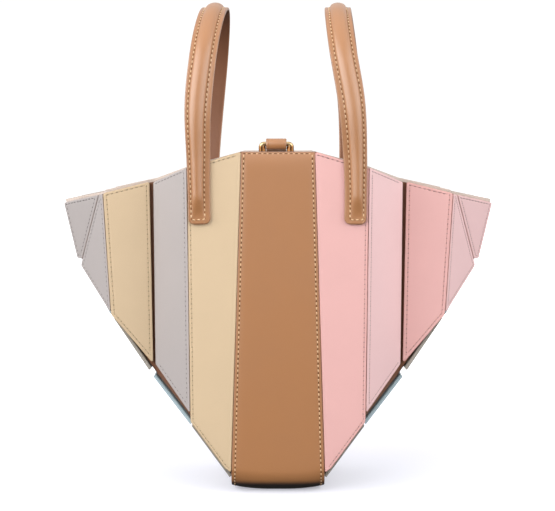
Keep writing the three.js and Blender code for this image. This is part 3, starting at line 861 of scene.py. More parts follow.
@dataclass
class Panel:
    """One stiff leather panel: a board with turned, painted edges and a stitched border."""

    node: str
    leather: Leather
    stitched: frozenset[Side] = frozenset(Side)
    seam_inset: float = 2.8 * MM
    rim_inset: float = 1.9 * MM
    seam_depth: float = 0.04 * MM
    padding: float = 0.1 * MM
    thin: tuple[float, float] = (1.0, 2.0)
    thinnest: float = 0.9
    ray_step: float = 4.0 * MM
    ray_fine: float = 0.4 * MM
    ray_near: float = 7.0 * MM
    turned_below: float = -0.1 * MM
    shortest: float = 0.02 * MM
    sewn_from: float = 0.5 * MM
    inner_rings: tuple[float, ...] = (1.0, 0.7, 0.35, 0.1)
    face: PanelFace = field(init=False, repr=False)

    def thinned(self, points: Points, height: float) -> Points:
        """Returns points at one height over the face, sunk to the back where the panel thins out."""
        start, end = self.thin
        share = np.clip((np.abs(points[:, :1]) - start) / (end - start), 0.0, self.thinnest)
        return points - self.face.normal * (height + self.face.thickness) * share

    def profile(self, thickness: float) -> Points:
        """Lists the section of the border from the back of the panel to its face.

        Args:
            thickness: How thick the panel is.

        Returns:
            Inset, height, edge mask and crease mask of each ring.
        """
        back, seam, deep, pad = (
            value / MM for value in (thickness, self.seam_inset, self.seam_depth, self.padding)
        )
        return IN_MM * (
            (0.35, -back, 1.0, 0.0),
            (0.0, 0.4 - back, 1.0, 0.0),
            (-0.2, -0.85, 1.0, 0.0),
            (-0.1, -0.3, 1.0, 0.0),
            (0.14, -0.07, 0.8, 0.0),
            (0.45, 0.0, 0.2, 0.0),
            (0.9, 0.03, 0.0, 0.0),
            (seam - 0.8, 0.05, 0.0, 0.0),
            (seam - 0.35, -deep * 0.6, 0.0, 0.6),
            (seam, -deep, 0.0, 1.0),
            (seam + 0.35, -deep * 0.6, 0.0, 0.6),
            (seam + 0.8, 0.04, 0.0, 0.0),
            (seam + 2.2, pad, 0.0, 0.0),
            (seam + 2.7, pad, 0.0, 0.0),
            (seam + 3.4, pad, 0.0, 0.0),
        )

    def build(self, shop: Workshop) -> None:
        """Builds the panel and sews its border.

        Args:
            shop: What it is made with.
        """
        self.face = face = PanelFace(self.node)
        rays = face.rays(self.ray_step, self.ray_fine, self.ray_near)
        shares = face.shares(self.rim_inset / self.seam_inset)
        outer, _ = face.reach(face.outline, rays, 0.0)
        back, _ = face.reach(face.back, rays, 0.0)
        rings, masks = [], []
        profile = self.profile(face.thickness)
        for inset, height, *mask in profile:
            if height < self.turned_below:
                share = min(1.0, -height / face.thickness)
                length = outer + (back - outer) * share - inset
            else:
                length, _ = face.reach(face.outline, rays, inset * shares)
            length = np.maximum(length, self.shortest)
            last = len(rings) == len(profile) - 1
            for part in self.inner_rings if last else self.inner_rings[:1]:
                rings.append(self.thinned(face.lift(rays * (length * part)[:, None], height), height))
                masks.append(np.broadcast_to(mask, (len(rays), 2)))
        shop.make(f"{self.node}_panel", self.node, [self.leather], rings, masks)
        self.sew(rays, shares, shop.stitching)

    def sew(self, rays: Points, shares: Points, stitching: Stitching) -> None:
        """Sews the border along the sides that carry stitches.

        Args:
            rays: Directions round the panel.
            shares: How far each side is drawn in for every unit of inset.
            stitching: Where its stitches are gathered.
        """
        face = self.face
        length, outward = face.reach(face.outline, rays, self.seam_inset * shares)
        inside = length > self.sewn_from
        line = face.lift(rays * np.maximum(length, 0.0)[:, None], -self.seam_depth)
        line = self.thinned(line, -self.seam_depth)
        normals = np.broadcast_to(face.normal, line.shape)
        sides = [face.side_of(o) for o in outward]
        for rim in (True, False):
            carried = inside & [side in self.stitched and (side is Side.TOP) == rim for side in sides]
            for run in self.runs(carried):
                stitching.sew(self.leather, line[run], normals[run], rim=rim)

    @staticmethod
    def runs(carried: Points) -> list[list[int]]:
        """Splits the places round a panel that carry stitches into unbroken runs.

        Args:
            carried: True at each place that carries stitches, with a gap somewhere.

        Returns:
            The numbers of the places in each run.
        """
        first = int(np.argmin(carried))
        found: list[list[int]] = [[]]
        for number in np.roll(np.arange(len(carried)), -first):
            if carried[number]:
                found[-1].append(int(number))
            elif found[-1]:
                found.append([])
        return [run for run in found if len(run) > 1]


@dataclass
class Cladding:
    """All the flat panels: five on each quarter and four under each sloping side."""

    names: tuple[str, ...] = ("main", "fold", "outer", "wing", "corner")
    seam_inset: tuple[float, ...] = (2.2 * MM, 3.6 * MM, 2.8 * MM, 3.0 * MM, 2.8 * MM)
    colours: dict[str, tuple[Leather, Leather]] = field(default_factory=lambda: {
        "left": (Leather.CREAM, Leather.GREY), "right": (Leather.PINK, Leather.PALE_PINK),
    })
    first_colour: frozenset[str] = frozenset(("main", "outer"))
    under: dict[str, Leather] = field(default_factory=lambda: {
        "base": Leather.SAGE, "fold": Leather.BLUE, "outer": Leather.SAGE, "wing": Leather.BLUE,
    })
    wing_thin: tuple[float, float] = (149.0 * MM, 163.0 * MM)
    plain_side: dict[str, Side] = field(default_factory=lambda: {"main": Side.INNER, "fold": Side.OUTER})

    def build(self, shop: Workshop) -> None:
        """Builds every panel with what the workshop has."""
        for face in ("front", "back"):
            for side, (first, second) in self.colours.items():
                for name, inset in zip(self.names, self.seam_inset):
                    leather = first if name in self.first_colour else second
                    stitched = frozenset(Side) - {self.plain_side.get(name)}
                    Panel(f"{face}_{side}_{name}", leather, stitched, inset).build(shop)
        for side in self.colours:
            for name, leather in self.under.items():
                thin = self.wing_thin if name == "wing" else Panel.thin
                Panel(f"under_{side}_{name}", leather, thin=thin).build(shop)


@dataclass
class CentreStrip:
    """The strip down the front, round under the base and up the back."""

    node: str = "centre_strip"
    half_top: float = 31.3 * MM
    half_low: float = 41.3 * MM
    top: float = 298.7 * MM
    depth_top: float = 65.0 * MM
    depth_low: float = 53.0 * MM
    edge_rise: float = 3.5 * MM
    flat_half: float = 8.0 * MM
    bend: float = 22.0 * MM
    thickness: float = 3.0 * MM
    seam_inset: float = 2.4 * MM
    rim_inset: float = 1.6 * MM
    seam_depth: float = 0.1 * MM
    wall_steps: int = 60
    bend_steps: int = 18
    base_steps: int = 8
    middle_share: float = 0.72
    middle_columns: int = 13

    def rise(self, x: float) -> float:
        """Returns the height of the underside at a distance from the middle of the bag."""
        reach = self.half_low - self.flat_half
        radius = (reach ** 2 + self.edge_rise ** 2) / (2 * self.edge_rise)
        beyond = max(0.0, abs(x) - self.flat_half)
        return radius - math.sqrt(radius ** 2 - beyond ** 2)

    def side_border(self) -> Points:
        """Lists the section beside a long edge: distance from it, height, edge mask and crease mask."""
        seam, deep = self.seam_inset / MM, self.seam_depth / MM
        return IN_MM * (
            (0.0, -0.85, 1.0, 0.0),
            (0.14, -0.38, 1.0, 0.0),
            (0.48, -0.09, 0.85, 0.0),
            (0.95, 0.0, 0.25, 0.0),
            (1.5, 0.03, 0.0, 0.0),
            (seam - 0.8, 0.05, 0.0, 0.0),
            (seam - 0.35, -deep * 0.6, 0.0, 0.6),
            (seam, -deep, 0.0, 1.0),
            (seam + 0.35, -deep * 0.6, 0.0, 0.6),
            (seam + 0.8, 0.05, 0.0, 0.0),
            (seam + 4.0, 0.2, 0.0, 0.0),
        )

    def rim_border(self) -> Points:
        """Lists the section below the rim, which rolls back softly, in the same columns."""
        seam = self.rim_inset / MM
        return IN_MM * (
            (0.0, -2.2, 1.0, 0.0),
            (0.25, -1.75, 1.0, 0.0),
            (0.6, -1.45, 0.8, 0.0),
            (1.0, -1.26, 0.25, 0.0),
            (seam - 0.3, -1.2, 0.0, 0.5),
            (seam, -1.16, 0.0, 1.0),
            (seam + 0.3, -1.04, 0.0, 0.5),
            (2.4, -0.84, 0.0, 0.0),
            (3.6, -0.58, 0.0, 0.0),
            (5.0, -0.34, 0.0, 0.0),
            (7.0, -0.1, 0.0, 0.0),
            (9.5, 0.1, 0.0, 0.0),
            (13.0, 0.2, 0.0, 0.0),
        )

    def line(self, share: float) -> Points:
        """Follows the face from the front rim to the back rim.

        Args:
            share: Which line across the strip, from -1 at the left edge to 1 at the right one.

        Returns:
            The points of that line.
        """
        low = np.array((share * self.half_low, -self.depth_low, self.rise(share * self.half_low)))
        head = np.array((share * self.half_top, -self.depth_top, self.top))
        up = unit(head - low)
        half = math.acos(float(up @ BACKWARD)) / 2
        reach = self.bend / math.tan(half)
        centre = low + unit(up + BACKWARD) * self.bend / math.sin(half)
        start, end = low + up * reach, low + BACKWARD * reach
        insets = self.rim_border()[:, 0] / np.linalg.norm(start - head)
        shares = np.concatenate((insets, np.linspace(insets[-1], 1.0, self.wall_steps)[1:]))
        wall = head + (start - head) * shares[:, None]
        turn = math.pi - 2 * half
        steps = (np.arange(1, self.bend_steps + 1) / self.bend_steps)[:, None]
        bent = np.sin((1 - steps) * turn) * (start - centre) + np.sin(steps * turn) * (end - centre)
        arc = centre + bent / math.sin(turn)
        flat = end * np.array((1.0, 0.0, 1.0))
        base = end + (flat - end) * (np.arange(1, self.base_steps + 1) / self.base_steps)[:, None]
        front = np.concatenate((wall, arc, base))
        return np.concatenate((front, (front * np.array((1.0, -1.0, 1.0)))[-2::-1]))

    def build(self, shop: Workshop) -> None:
        """Builds the strip and sews its borders.

        Args:
            shop: What it is made with.
        """
        side, rim = self.side_border(), self.rim_border()
        middle = np.linspace(self.middle_share, -self.middle_share, self.middle_columns)
        columns = [(1 - d / self.half_top, d) for d in side[:, 0]]
        columns += [(float(s), side[-1, 0]) for s in middle]
        columns += [(-share, d) for share, d in columns[len(side) - 1::-1]]
        face = np.array([self.line(share) for share, _ in columns])
        normals = unit(np.cross(np.gradient(face, axis=0), np.gradient(face, axis=1)))
        if np.sum(normals[:, 0] @ BACKWARD) > 0:
            normals = -normals
        run = run_of(face)
        to_end = np.minimum(run, run[:, -1:] - run)
        to_side = np.broadcast_to(np.array([d for _, d in columns])[:, None], to_end.shape)
        by_side, by_end = (
            np.stack([np.interp(distance, table[:, 0], column) for column in table[:, 1:].T], axis=-1)
            for distance, table in ((to_side, side), (to_end, rim))
        )
        outer = face + normals * np.minimum(by_side, by_end)[..., :1]
        outer[..., 2] = np.maximum(outer[..., 2], 0.0)
        inner = face - normals * self.thickness
        rings = np.concatenate((outer, inner[::-1])).transpose(1, 0, 2)
        masks = np.maximum(by_side, by_end)[..., 1:]
        masks = np.concatenate((masks, np.zeros_like(masks))).transpose(1, 0, 2)
        masks[:, [len(columns), -1], 0] = 1.0
        shop.make("centre_strip_leather", self.node, [Leather.TAN], rings, masks)
        self.sew(outer, normals, shop.stitching)

    def sew(self, face: Points, normals: Points, stitching: Stitching) -> None:
        """Sews a row along both long edges and across both ends."""
        right = int(np.argmax(self.side_border()[:, 3]))
        start = int(np.argmax(self.rim_border()[:, 3]))
        left, end = len(face) - 1 - right, face.shape[1] - 1 - start
        for column in (right, left):
            stitching.sew(Leather.TAN, face[column, start:end + 1], normals[column, start:end + 1])
        for row in (start, end):
            stitching.sew(Leather.TAN, face[right:left + 1, row], normals[right:left + 1, row], rim=True)


@dataclass(frozen=True)
class Stop:
    """One row of a handle's line; depth None lies on the main panel."""

    depth: float | None
    front: bool
    height: float
    left: float
    right: float


HANDLE_LINE: tuple[Stop, ...] = (
    Stop(None, True, 237.5 * MM, 66.6 * MM, 65.6 * MM),
    Stop(None, True, 262 * MM, 67.0 * MM, 65.8 * MM),
    Stop(None, True, 292 * MM, 67.2 * MM, 65.2 * MM),
    Stop(70.5 * MM, True, 338 * MM, 67.0 * MM, 61.9 * MM),
    Stop(60.0 * MM, True, 386 * MM, 62.2 * MM, 54.3 * MM),
    Stop(35.0 * MM, True, 413.5 * MM, 57.6 * MM, 51.9 * MM),
    Stop(0.0, True, 423 * MM, 54.9 * MM, 53.2 * MM),
    Stop(35.0 * MM, False, 413.5 * MM, 55.4 * MM, 57.5 * MM),
    Stop(60.0 * MM, False, 386 * MM, 58.1 * MM, 63.2 * MM),
    Stop(70.5 * MM, False, 338 * MM, 62.9 * MM, 68.4 * MM),
    Stop(None, False, 292 * MM, 65.6 * MM, 68.4 * MM),
    Stop(None, False, 262 * MM, 66.2 * MM, 67.0 * MM),
    Stop(None, False, 237.5 * MM, 66.6 * MM, 65.6 * MM),
)


def smooth_line(knots: Points, spacing: float) -> Points:
    """Draws a smooth line through points, with its speed set by the square root of their distance.

    Args:
        knots: The points that it passes.
        spacing: The rough distance between the points that come back.

    Returns:
        Points of the line, close together.
    """
    ends = np.concatenate((2 * knots[:1] - knots[1:2], knots, 2 * knots[-1:] - knots[-2:-1]))
    rows = []
    for a, b, c, d in zip(ends, ends[1:], ends[2:], ends[3:]):
        ab, bc, cd = (math.sqrt(float(np.linalg.norm(q - p))) for p, q in ((a, b), (b, c), (c, d)))
        leave = ((b - a) / ab - (c - a) / (ab + bc) + (c - b) / bc) * bc
        arrive = ((c - b) / bc - (d - b) / (bc + cd) + (d - c) / cd) * bc
        count = max(2, round(float(np.linalg.norm(c - b)) / spacing))
        t = (np.arange(count) / count)[:, None]
        rows.append(
            (2 * t ** 3 - 3 * t ** 2 + 1) * b + (t ** 3 - 2 * t ** 2 + t) * leave
            + (3 * t ** 2 - 2 * t ** 3) * c + (t ** 3 - t ** 2) * arrive
        )
    return np.concatenate((*rows, knots[-1:]))


@dataclass
class Handle:
    """A flat strap with a rolled rib, from the front of the bag over to the back."""

    side: str
    foot_width: float = 19.0 * MM
    width: float = 23.0 * MM
    widen_from: float = 20.0 * MM
    widen_to: float = 120.0 * MM
    strap: float = 2.6 * MM
    rib_height: float = 4.2 * MM
    rib_clear: float = 0.7 * MM
    rib_lean: float = 0.8 * MM
    rib_taper: float = 20.0 * MM
    rib_steps: int = 12
    gap: float = 0.4 * MM
    foot_round: float = 5.6 * MM
    foot_plain: float = 5.0 * MM
    foot_steps: int = 14
    foot_edge: float = 1.0 * MM
    foot_thin: float = 0.55
    inner_inset: float = 3.9 * MM
    outer_inset: float = 3.7 * MM
    foot_inset: float = 4.2 * MM
    seam_corner: float = 2.0 * MM
    turn_out: float = 1.1 * MM
    turn_from: float = 75.0 * MM
    turn_to: float = 160.0 * MM
    seam_depth: float = 0.14 * MM
    spacing: float = 2.0 * MM
    line_spacing: float = 0.6 * MM
    seam_spacing: float = 1.0 * MM

    def path(self, face: PanelFace) -> Points:
        """Returns the line of the strap's inner face, close points from the front foot to the back one."""
        sign = -1.0 if self.side == "left" else 1.0
        n, m = face.normal, face.middle
        knots = []
        for stop in HANDLE_LINE:
            x = sign * (stop.left if self.side == "left" else stop.right)
            if stop.depth is None:
                y = m[1] - (n[0] * (x - m[0]) + n[2] * (stop.height - m[2])) / n[1] + self.gap / n[1]
            else:
                y = -stop.depth
            knots.append((x, y if stop.front else -y, stop.height))
        return smooth_line(np.array(knots), self.line_spacing)

    def width_at(self, to_foot: float) -> float:
        """Returns the strap's width at a distance from the nearer foot, before its end is rounded."""
        share = smoothstep(to_foot, self.widen_from, self.widen_to)
        return self.foot_width + (self.width - self.foot_width) * share

    def turned(self, to_foot: float) -> float:
        """Returns how far the strap turns outward: one near the feet, nothing higher up."""
        return 1 - smoothstep(to_foot, self.turn_from, self.turn_to)

    def seam_insets(self, to_foot: float) -> tuple[float, float]:
        """Returns how far the rows stand from the strap's right and left edge."""
        moved = self.turn_out * self.turned(to_foot)
        inner, outer = self.inner_inset + moved, self.outer_inset - moved
        return (inner, outer) if self.side == "left" else (outer, inner)

    def section(self, to_foot: float) -> Points:
        """Draws the strap's section round from the middle of its back.

        Args:
            to_foot: The distance from the nearer foot.

        Returns:
            Distance from the middle, height, edge mask and crease mask of each point.
        """
        half = self.width_at(to_foot) / 2
        rib = smoothstep(to_foot, self.foot_plain, self.foot_plain + self.rib_taper)
        right, left = self.seam_insets(to_foot)
        crest = (left - right) / 2
        crest += math.copysign(self.rib_lean, crest) * self.turned(to_foot)
        other = self.half_section(half, left, -crest, rib)[-2:0:-1] * MIRRORED
        return np.concatenate((self.half_section(half, right, crest, rib), other))

    def half_section(self, half: float, inset: float, crest: float, rib: float) -> Points:
        """Draws one half of the section, from the middle of the back to the top of the rib.

        Args:
            half: Half of the strap's width.
            inset: How far the row of stitches stands from the edge.
            crest: Where the top of the rib is, from the middle.
            rib: How far the rib stands up, from 0 to 1.

        Returns:
            Distance from the middle, height, edge mask and crease mask of each point.
        """
        rim, seam, top, deep = (value / MM for value in (half, half - inset, self.strap, self.seam_depth))
        border = IN_MM * (
            (0.0, 0.0, 0.0, 0.0),
            (rim * 0.5, 0.0, 0.0, 0.0),
            (rim - 0.8, 0.02, 0.3, 0.0),
            (rim - 0.2, 0.22, 1.0, 0.0),
            (rim, 0.7, 1.0, 0.0),
            (rim, top - 0.8, 1.0, 0.0),
            (rim - 0.15, top - 0.36, 1.0, 0.0),
            (rim - 0.5, top - 0.08, 0.8, 0.0),
            (rim - 1.0, top, 0.2, 0.0),
            (seam + 0.8, top + 0.03, 0.0, 0.0),
            (seam + 0.35, top - deep * 0.6, 0.0, 0.5),
            (seam, top - deep, 0.0, 0.9),
            (seam - 0.35, top - deep * 0.5, 0.0, 0.6),
        )
        turns = np.linspace(0.0, math.pi / 2, self.rib_steps + 1)
        arch = np.zeros((len(turns), 4))
        arch[:, 0] = crest + (half - inset - self.rib_clear - crest) * np.cos(turns)
        arch[:, 1] = self.strap + self.rib_height * rib * np.sin(turns)
        # The rib's foot takes some crease mask: painted shade in the fold beside it.
        arch[0, 3] = 0.35
        return np.concatenate((border, arch))

    def stations(self) -> tuple[Points, Points, Points, Points]:
        """Works out the strap's own axes along its line.

        Returns:
            Distances along the line, points, directions outward and directions across.
        """
        face = PanelFace(f"front_{self.side}_main")
        line = self.path(face)
        run = run_of(line)
        ahead = unit(np.gradient(line, axis=0))
        free = unit(np.cross(ACROSS, ahead))
        low, high = HANDLE_LINE[2].height, HANDLE_LINE[3].height
        lifted = np.array([smoothstep(z, low, high) for z in line[:, 2]])[:, None]
        flat = np.where(run[:, None] < run[-1] / 2, face.normal, face.normal * np.array((1.0, -1.0, 1.0)))
        out = flat + (free - flat) * lifted
        out = unit(out - ahead * np.sum(out * ahead, axis=1, keepdims=True))
        return run, line, out, np.cross(ahead, out)

    def build(self, shop: Workshop) -> None:
        """Builds the strap and sews one row round it.

        Args:
            shop: What it is made with.
        """
        run, *axes = self.stations()
        length = run[-1]
        ends = self.foot_round * (1 - np.cos(np.linspace(0.0, math.pi / 2, self.foot_steps)))
        body = np.linspace(self.foot_round, length - self.foot_round, round(length / self.spacing))
        stops = np.concatenate((ends[:-1], body, (length - ends[:-1])[::-1]))
        rings, masks = [], []
        for stop, point, up, aside in zip(stops, *(along(stops, run, values) for values in axes)):
            to_foot = min(stop, length - stop)
            bow = max(0.0, self.foot_round - to_foot)
            cut = self.foot_round - math.sqrt(self.foot_round ** 2 - bow ** 2)
            whole = self.section(to_foot)
            whole[:, 0] *= 1 - 2 * cut / self.width_at(to_foot)
            if to_foot < self.foot_edge:
                thin = self.foot_thin + (1 - self.foot_thin) * to_foot / self.foot_edge
                whole[:, 1] = self.strap / 2 + (whole[:, 1] - self.strap / 2) * thin
                whole[:, 2] = 1.0
            rings.append(point + whole[:, :1] * aside + whole[:, 1:2] * up)
            masks.append(whole[:, 2:])
        # The middle of the strap's back takes the brown leather, the tan darkened as painted shade.
        under = np.zeros(len(rings[0]), int)
        under[[0, 1, -2, -1]] = 1
        leathers = [Leather.TAN, Leather.BROWN]
        shop.make(f"handle_{self.side}_strap", f"handle_{self.side}", leathers, rings, masks, under)
        self.sew(run, *axes, shop.stitching)

    def sew(self, run: Points, line: Points, out: Points, across: Points, stitching: Stitching) -> None:
        """Sews one closed row along both edges and round both feet."""
        corner, length = self.seam_corner, run[-1]
        start = self.foot_inset + corner
        straight = np.arange(start, length - start, self.seam_spacing)
        near = np.minimum(straight, length - straight)
        half = np.array([self.width_at(s) / 2 for s in near])[:, None]
        right, left = (half - np.array([self.seam_insets(s) for s in near])).T
        turns = np.linspace(0, math.pi / 2, 7)
        end = corner * (1 - np.sin(turns)) + self.foot_inset
        bow = corner * (1 - np.cos(turns))
        where = np.concatenate((
            straight, length - end, (length - end)[::-1], straight[::-1], end, end[::-1], straight[:1],
        ))
        beside = np.concatenate((
            right, right[-1] - bow, (bow - left[-1])[::-1], -left[::-1], bow - left[0],
            (right[0] - bow)[::-1], right[:1],
        ))
        middle, up, aside = (along(where, run, values) for values in (line, out, across))
        row = middle + aside * beside[:, None] + up * (self.strap - self.seam_depth)
        stitching.sew(Leather.TAN, row, up, soft=True)


@dataclass
class Closure:
    """The ring, the strap that is looped over its upper bar, and the hook behind the rim."""

    ring_width: float = 30.0 * MM
    ring_height: float = 24.0 * MM
    wire: float = 4.2 * MM
    wire_sides: int = 20
    ring_round: float = 4.6 * MM
    corner_steps: int = 8
    ring_top: float = 307.4 * MM
    ring_depth: float = 54.5 * MM
    side_extra: float = 1.95 * MM
    middle_x: float = -1.5 * MM
    gap: float = 0.4 * MM
    strap_width: float = 17.4 * MM
    layer: float = 2.3 * MM
    layer_slack: float = 0.04 * MM
    layer_apart: float = 0.52
    strap_steps: int = 12
    strap_spacing: float = 1.0 * MM
    loop_points: int = 25
    sag: float = 9.0 * MM
    tail: float = 26.0 * MM
    drop: float = 14.0 * MM
    inside_depth: float = 6.4 * MM
    seam_inset: float = 2.6 * MM
    seam_depth: float = 0.1 * MM
    sewn_share: float = 0.44
    hook_round: float = 0.35 * MM

    def build(self, shop: Workshop) -> None:
        """Builds the three pieces with what the workshop has."""
        self.build_ring(shop.finishes.gold)
        self.build_strap(shop)
        self.dress_hook(shop.finishes.gold)

    def build_ring(self, gold: bpy.types.Material) -> None:
        """Sweeps wire, wider at the sides, along a rectangle with round corners."""
        wire = self.wire / 2
        radius = self.ring_round - wire
        half_width, half_height = (size / 2 - self.ring_round for size in (self.ring_width, self.ring_height))
        path = np.array([
            (x * half_width + radius * math.cos(turn), 0.0, z * half_height + radius * math.sin(turn))
            for corner, (x, z) in enumerate(((1, 1), (-1, 1), (-1, -1), (1, -1)))
            for turn in np.linspace(corner, corner + 1, self.corner_steps + 1) * math.pi / 2
        ])
        ahead = unit(np.roll(path, -1, axis=0) - np.roll(path, 1, axis=0))
        out = np.cross(ahead, BACKWARD)
        turns = np.arange(self.wire_sides) * 2 * math.pi / self.wire_sides
        round_wire = BACKWARD * np.cos(turns)[None, :, None] + out[:, None] * np.sin(turns)[None, :, None]
        rings = path[:, None] + round_wire * wire
        away = np.sign(path[:, :1])
        rings[..., 0] -= away * self.side_extra * np.maximum(0.0, -away * out[:, :1] * np.sin(turns))
        rings += np.array((self.middle_x, -self.ring_depth, self.ring_top - self.ring_height / 2))
        number = np.arange(len(path) * self.wire_sides).reshape(len(path), -1)
        after = np.roll(number, -1, axis=1)
        quads = np.stack((number, after, np.roll(after, -1, axis=0), np.roll(number, -1, axis=0)), axis=-1)
        mesh = PieceMesh()
        mesh.add(rings, quads.reshape(-1, 4))
        turn_outward(mesh.build("closure_ring_wire", "gold_metal", [gold], ["closure_ring"]))

    def strap_line(self) -> Points:
        """Returns the middle line of the strap, as depth and height: out, round the bar and back."""
        bar = np.array((-self.ring_depth, self.ring_top - self.wire / 2))
        radius = self.wire / 2 + self.gap + self.layer / 2
        strip = CentreStrip()
        depth = strip.depth_top - self.inside_depth - self.gap - 2 * self.layer
        end = np.array((depth, strip.top - self.drop))
        shares = np.arange(1, self.strap_steps + 1) / self.strap_steps
        start = bar + np.array((self.wire / 2 + self.gap + self.layer, 0.0))
        line = start + (end - start) * shares[:, None]
        line[:, 1] -= self.sag * np.sin(math.pi * shares) ** 2
        lean = (strip.depth_top - strip.depth_low) / strip.top
        drops = np.array((self.tail / 2, self.tail))
        line = np.concatenate((line, end + np.stack((-lean * drops, -drops), axis=-1)))
        ahead = unit(np.gradient(line, axis=0))
        across = np.stack((-ahead[:, 1], ahead[:, 0]), axis=-1) * self.layer * self.layer_apart
        leave = math.asin(self.layer / 2 / radius)
        turns = np.linspace(leave, 2 * math.pi - leave, self.loop_points)
        loop = bar + radius * np.stack((np.cos(turns), np.sin(turns)), axis=-1)
        return np.concatenate(((line + across)[::-1], loop, line - across))

    def build_strap(self, shop: Workshop) -> None:
        """Sweeps the strap along its line and sews its upper layer.

        Args:
            shop: What it is made with.
        """
        flat = self.strap_line()
        knots = np.concatenate((np.full((len(flat), 1), self.middle_x), flat), axis=1)
        line = smooth_line(knots, self.strap_spacing)
        up = unit(np.cross(unit(np.gradient(line, axis=0)), ACROSS))
        half, thick = self.strap_width / 2, self.layer / 2 - self.layer_slack
        seam = half - self.seam_inset
        quarter = np.array((
            (0.0, thick, 0.0, 0.0),
            (seam - 0.5 * MM, thick, 0.0, 0.0),
            (seam, thick - self.seam_depth, 0.0, 0.0),
            (seam + 0.5 * MM, thick, 0.0, 0.0),
            (half - 0.7 * MM, thick, 0.2, 0.0),
            (half - 0.2 * MM, thick - 0.2 * MM, 0.9, 0.0),
            (half, thick - 0.6 * MM, 1.0, 0.0),
        ))
        right = np.concatenate((quarter, quarter[::-1] * np.array((1.0, -1.0, 1.0, 1.0))))
        section = np.concatenate((right, right[-2:0:-1] * MIRRORED))
        rings = line[:, None] + section[None, :, :1] * ACROSS + section[None, :, 1:2] * up[:, None]
        masks = np.broadcast_to(section[:, 2:], (*rings.shape[:2], 2)).copy()
        masks[[0, -1], :, 0] = 1.0
        shop.make("closure_strap_leather", "closure_strap", [Leather.TAN], rings, masks)
        outward = up if up[len(up) // 4, 2] > 0 else -up
        upper = slice(4, int(len(line) * self.sewn_share))
        for beside in (-seam, seam):
            row = line[upper] + ACROSS * beside + outward[upper] * (thick - self.seam_depth)
            shop.stitching.sew(Leather.TAN, row, outward[upper])

    def dress_hook(self, gold: bpy.types.Material) -> None:
        """Rounds the hook's edges and plates it."""
        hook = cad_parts["closure_hook"]
        hook.data.materials.clear()
        hook.data.materials.append(gold)
        bevel = hook.modifiers.new("rounded edges", "BEVEL")
        bevel.width = self.hook_round
        bevel.segments = 3
        bevel.limit_method = "ANGLE"
        LOG.info("closure_hook: plated")


@dataclass
class SoftWall:
    """A soft wall of the body, made finer than its solid and slightly uneven."""

    node: str
    slot: str
    longest: float = 9.0 * MM
    rounds: int = 6
    waves: float = 0.16 * MM
    wave_scale: float = 38.0
    wave_seed: int = 1
    sharp: float = math.radians(32)
    weld: float = 0.005 * MM
    flare: float = 0.0
    flare_sink: float = 1.6 * MM
    flare_from: float = 156.2 * MM
    flare_to: float = 186.0 * MM
    flare_longest: float = 1.2 * MM
    flare_rounds: int = 4
    rim_at_flare: float = 263.6 * MM
    rim_slope: float = -0.2186
    band: float = 3.0 * MM
    band_blend: float = 0.6 * MM
    fine_below: float = 9.5 * MM

    def below_rim(self, point: Vector) -> float:
        """Returns how far a point near the rim's ends is below the rim."""
        return self.rim_at_flare + self.rim_slope * (abs(point.x) - self.flare_from) - point.z

    def flared(self, point: Vector) -> Vector:
        """Returns a point of the rim's ends drawn outward over the panels' tops, and others as they are."""
        share = smoothstep(abs(point.x), self.flare_from, self.flare_to)
        share *= smoothstep(-self.below_rim(point), -self.band, self.band_blend - self.band)
        out = self.flare * share
        sink = self.flare_sink * share * self.below_rim(point) / self.band
        return point + Vector((math.copysign(out, point.x), 0.0, self.rim_slope * out - sink))

    def at_rim_end(self, vertex: bmesh.types.BMVert) -> bool:
        """Tells whether a point is close to an end of the rim."""
        return abs(vertex.co.x) > self.flare_from and self.below_rim(vertex.co) < self.fine_below

    def refine(self, form: bmesh.types.BMesh) -> None:
        """Splits long edges, and splits them again at the rim's ends where they are flared."""
        for number in range(self.rounds + (self.flare_rounds if self.flare else 0)):
            if number < self.rounds:
                edges = [e for e in form.edges if e.calc_length() > self.longest]
            else:
                edges = [
                    e for e in form.edges
                    if e.calc_length() > self.flare_longest and all(self.at_rim_end(v) for v in e.verts)
                ]
            if edges:
                bmesh.ops.subdivide_edges(form, edges=edges, cuts=1, use_grid_fill=True)
                bmesh.ops.triangulate(form, faces=[f for f in form.faces if len(f.verts) > 4])

    def build(self, material: bpy.types.Material) -> None:
        """Builds the wall in a finish."""
        form = bmesh.new()
        form.from_mesh(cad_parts[self.node].data)
        bmesh.ops.remove_doubles(form, verts=form.verts, dist=self.weld)
        self.refine(form)
        noise.seed_set(self.wave_seed)
        for vertex in form.verts:
            vertex.co += noise.noise_vector(vertex.co * self.wave_scale) * self.waves
            vertex.co = self.flared(vertex.co)
        bmesh.ops.recalc_face_normals(form, faces=form.faces)
        mesh = bpy.data.meshes.new(f"{self.node}_wall")
        form.to_mesh(mesh)
        form.free()
        mesh.polygons.foreach_set("use_smooth", [True] * len(mesh.polygons))
        mesh.set_sharp_from_angle(angle=self.sharp)
        mesh.materials.append(material)
        place(mesh, self.slot, [self.node])


@dataclass(frozen=True)
class Softbox:
    """One soft light: its place, its width and height in metres and its power in watts."""

    name: str
    where: tuple[float, float, float]
    size: tuple[float, float]
    power: float
    looks_at: tuple[float, float, float] = (0.0, 0.0, 0.2)

    def build(self) -> None:
        """Hangs the light so that it looks at the bag."""
        light = bpy.data.lights.new(self.name, "AREA")
        light.shape = "RECTANGLE"
        light.size, light.size_y = self.size
        light.energy = self.power
        lamp = bpy.data.objects.new(self.name, light)
        lamp.location = self.where
        towards = Vector(self.looks_at) - Vector(self.where)
        lamp.rotation_euler = towards.to_track_quat("-Z", "Y").to_euler()
        bpy.context.scene.collection.objects.link(lamp)


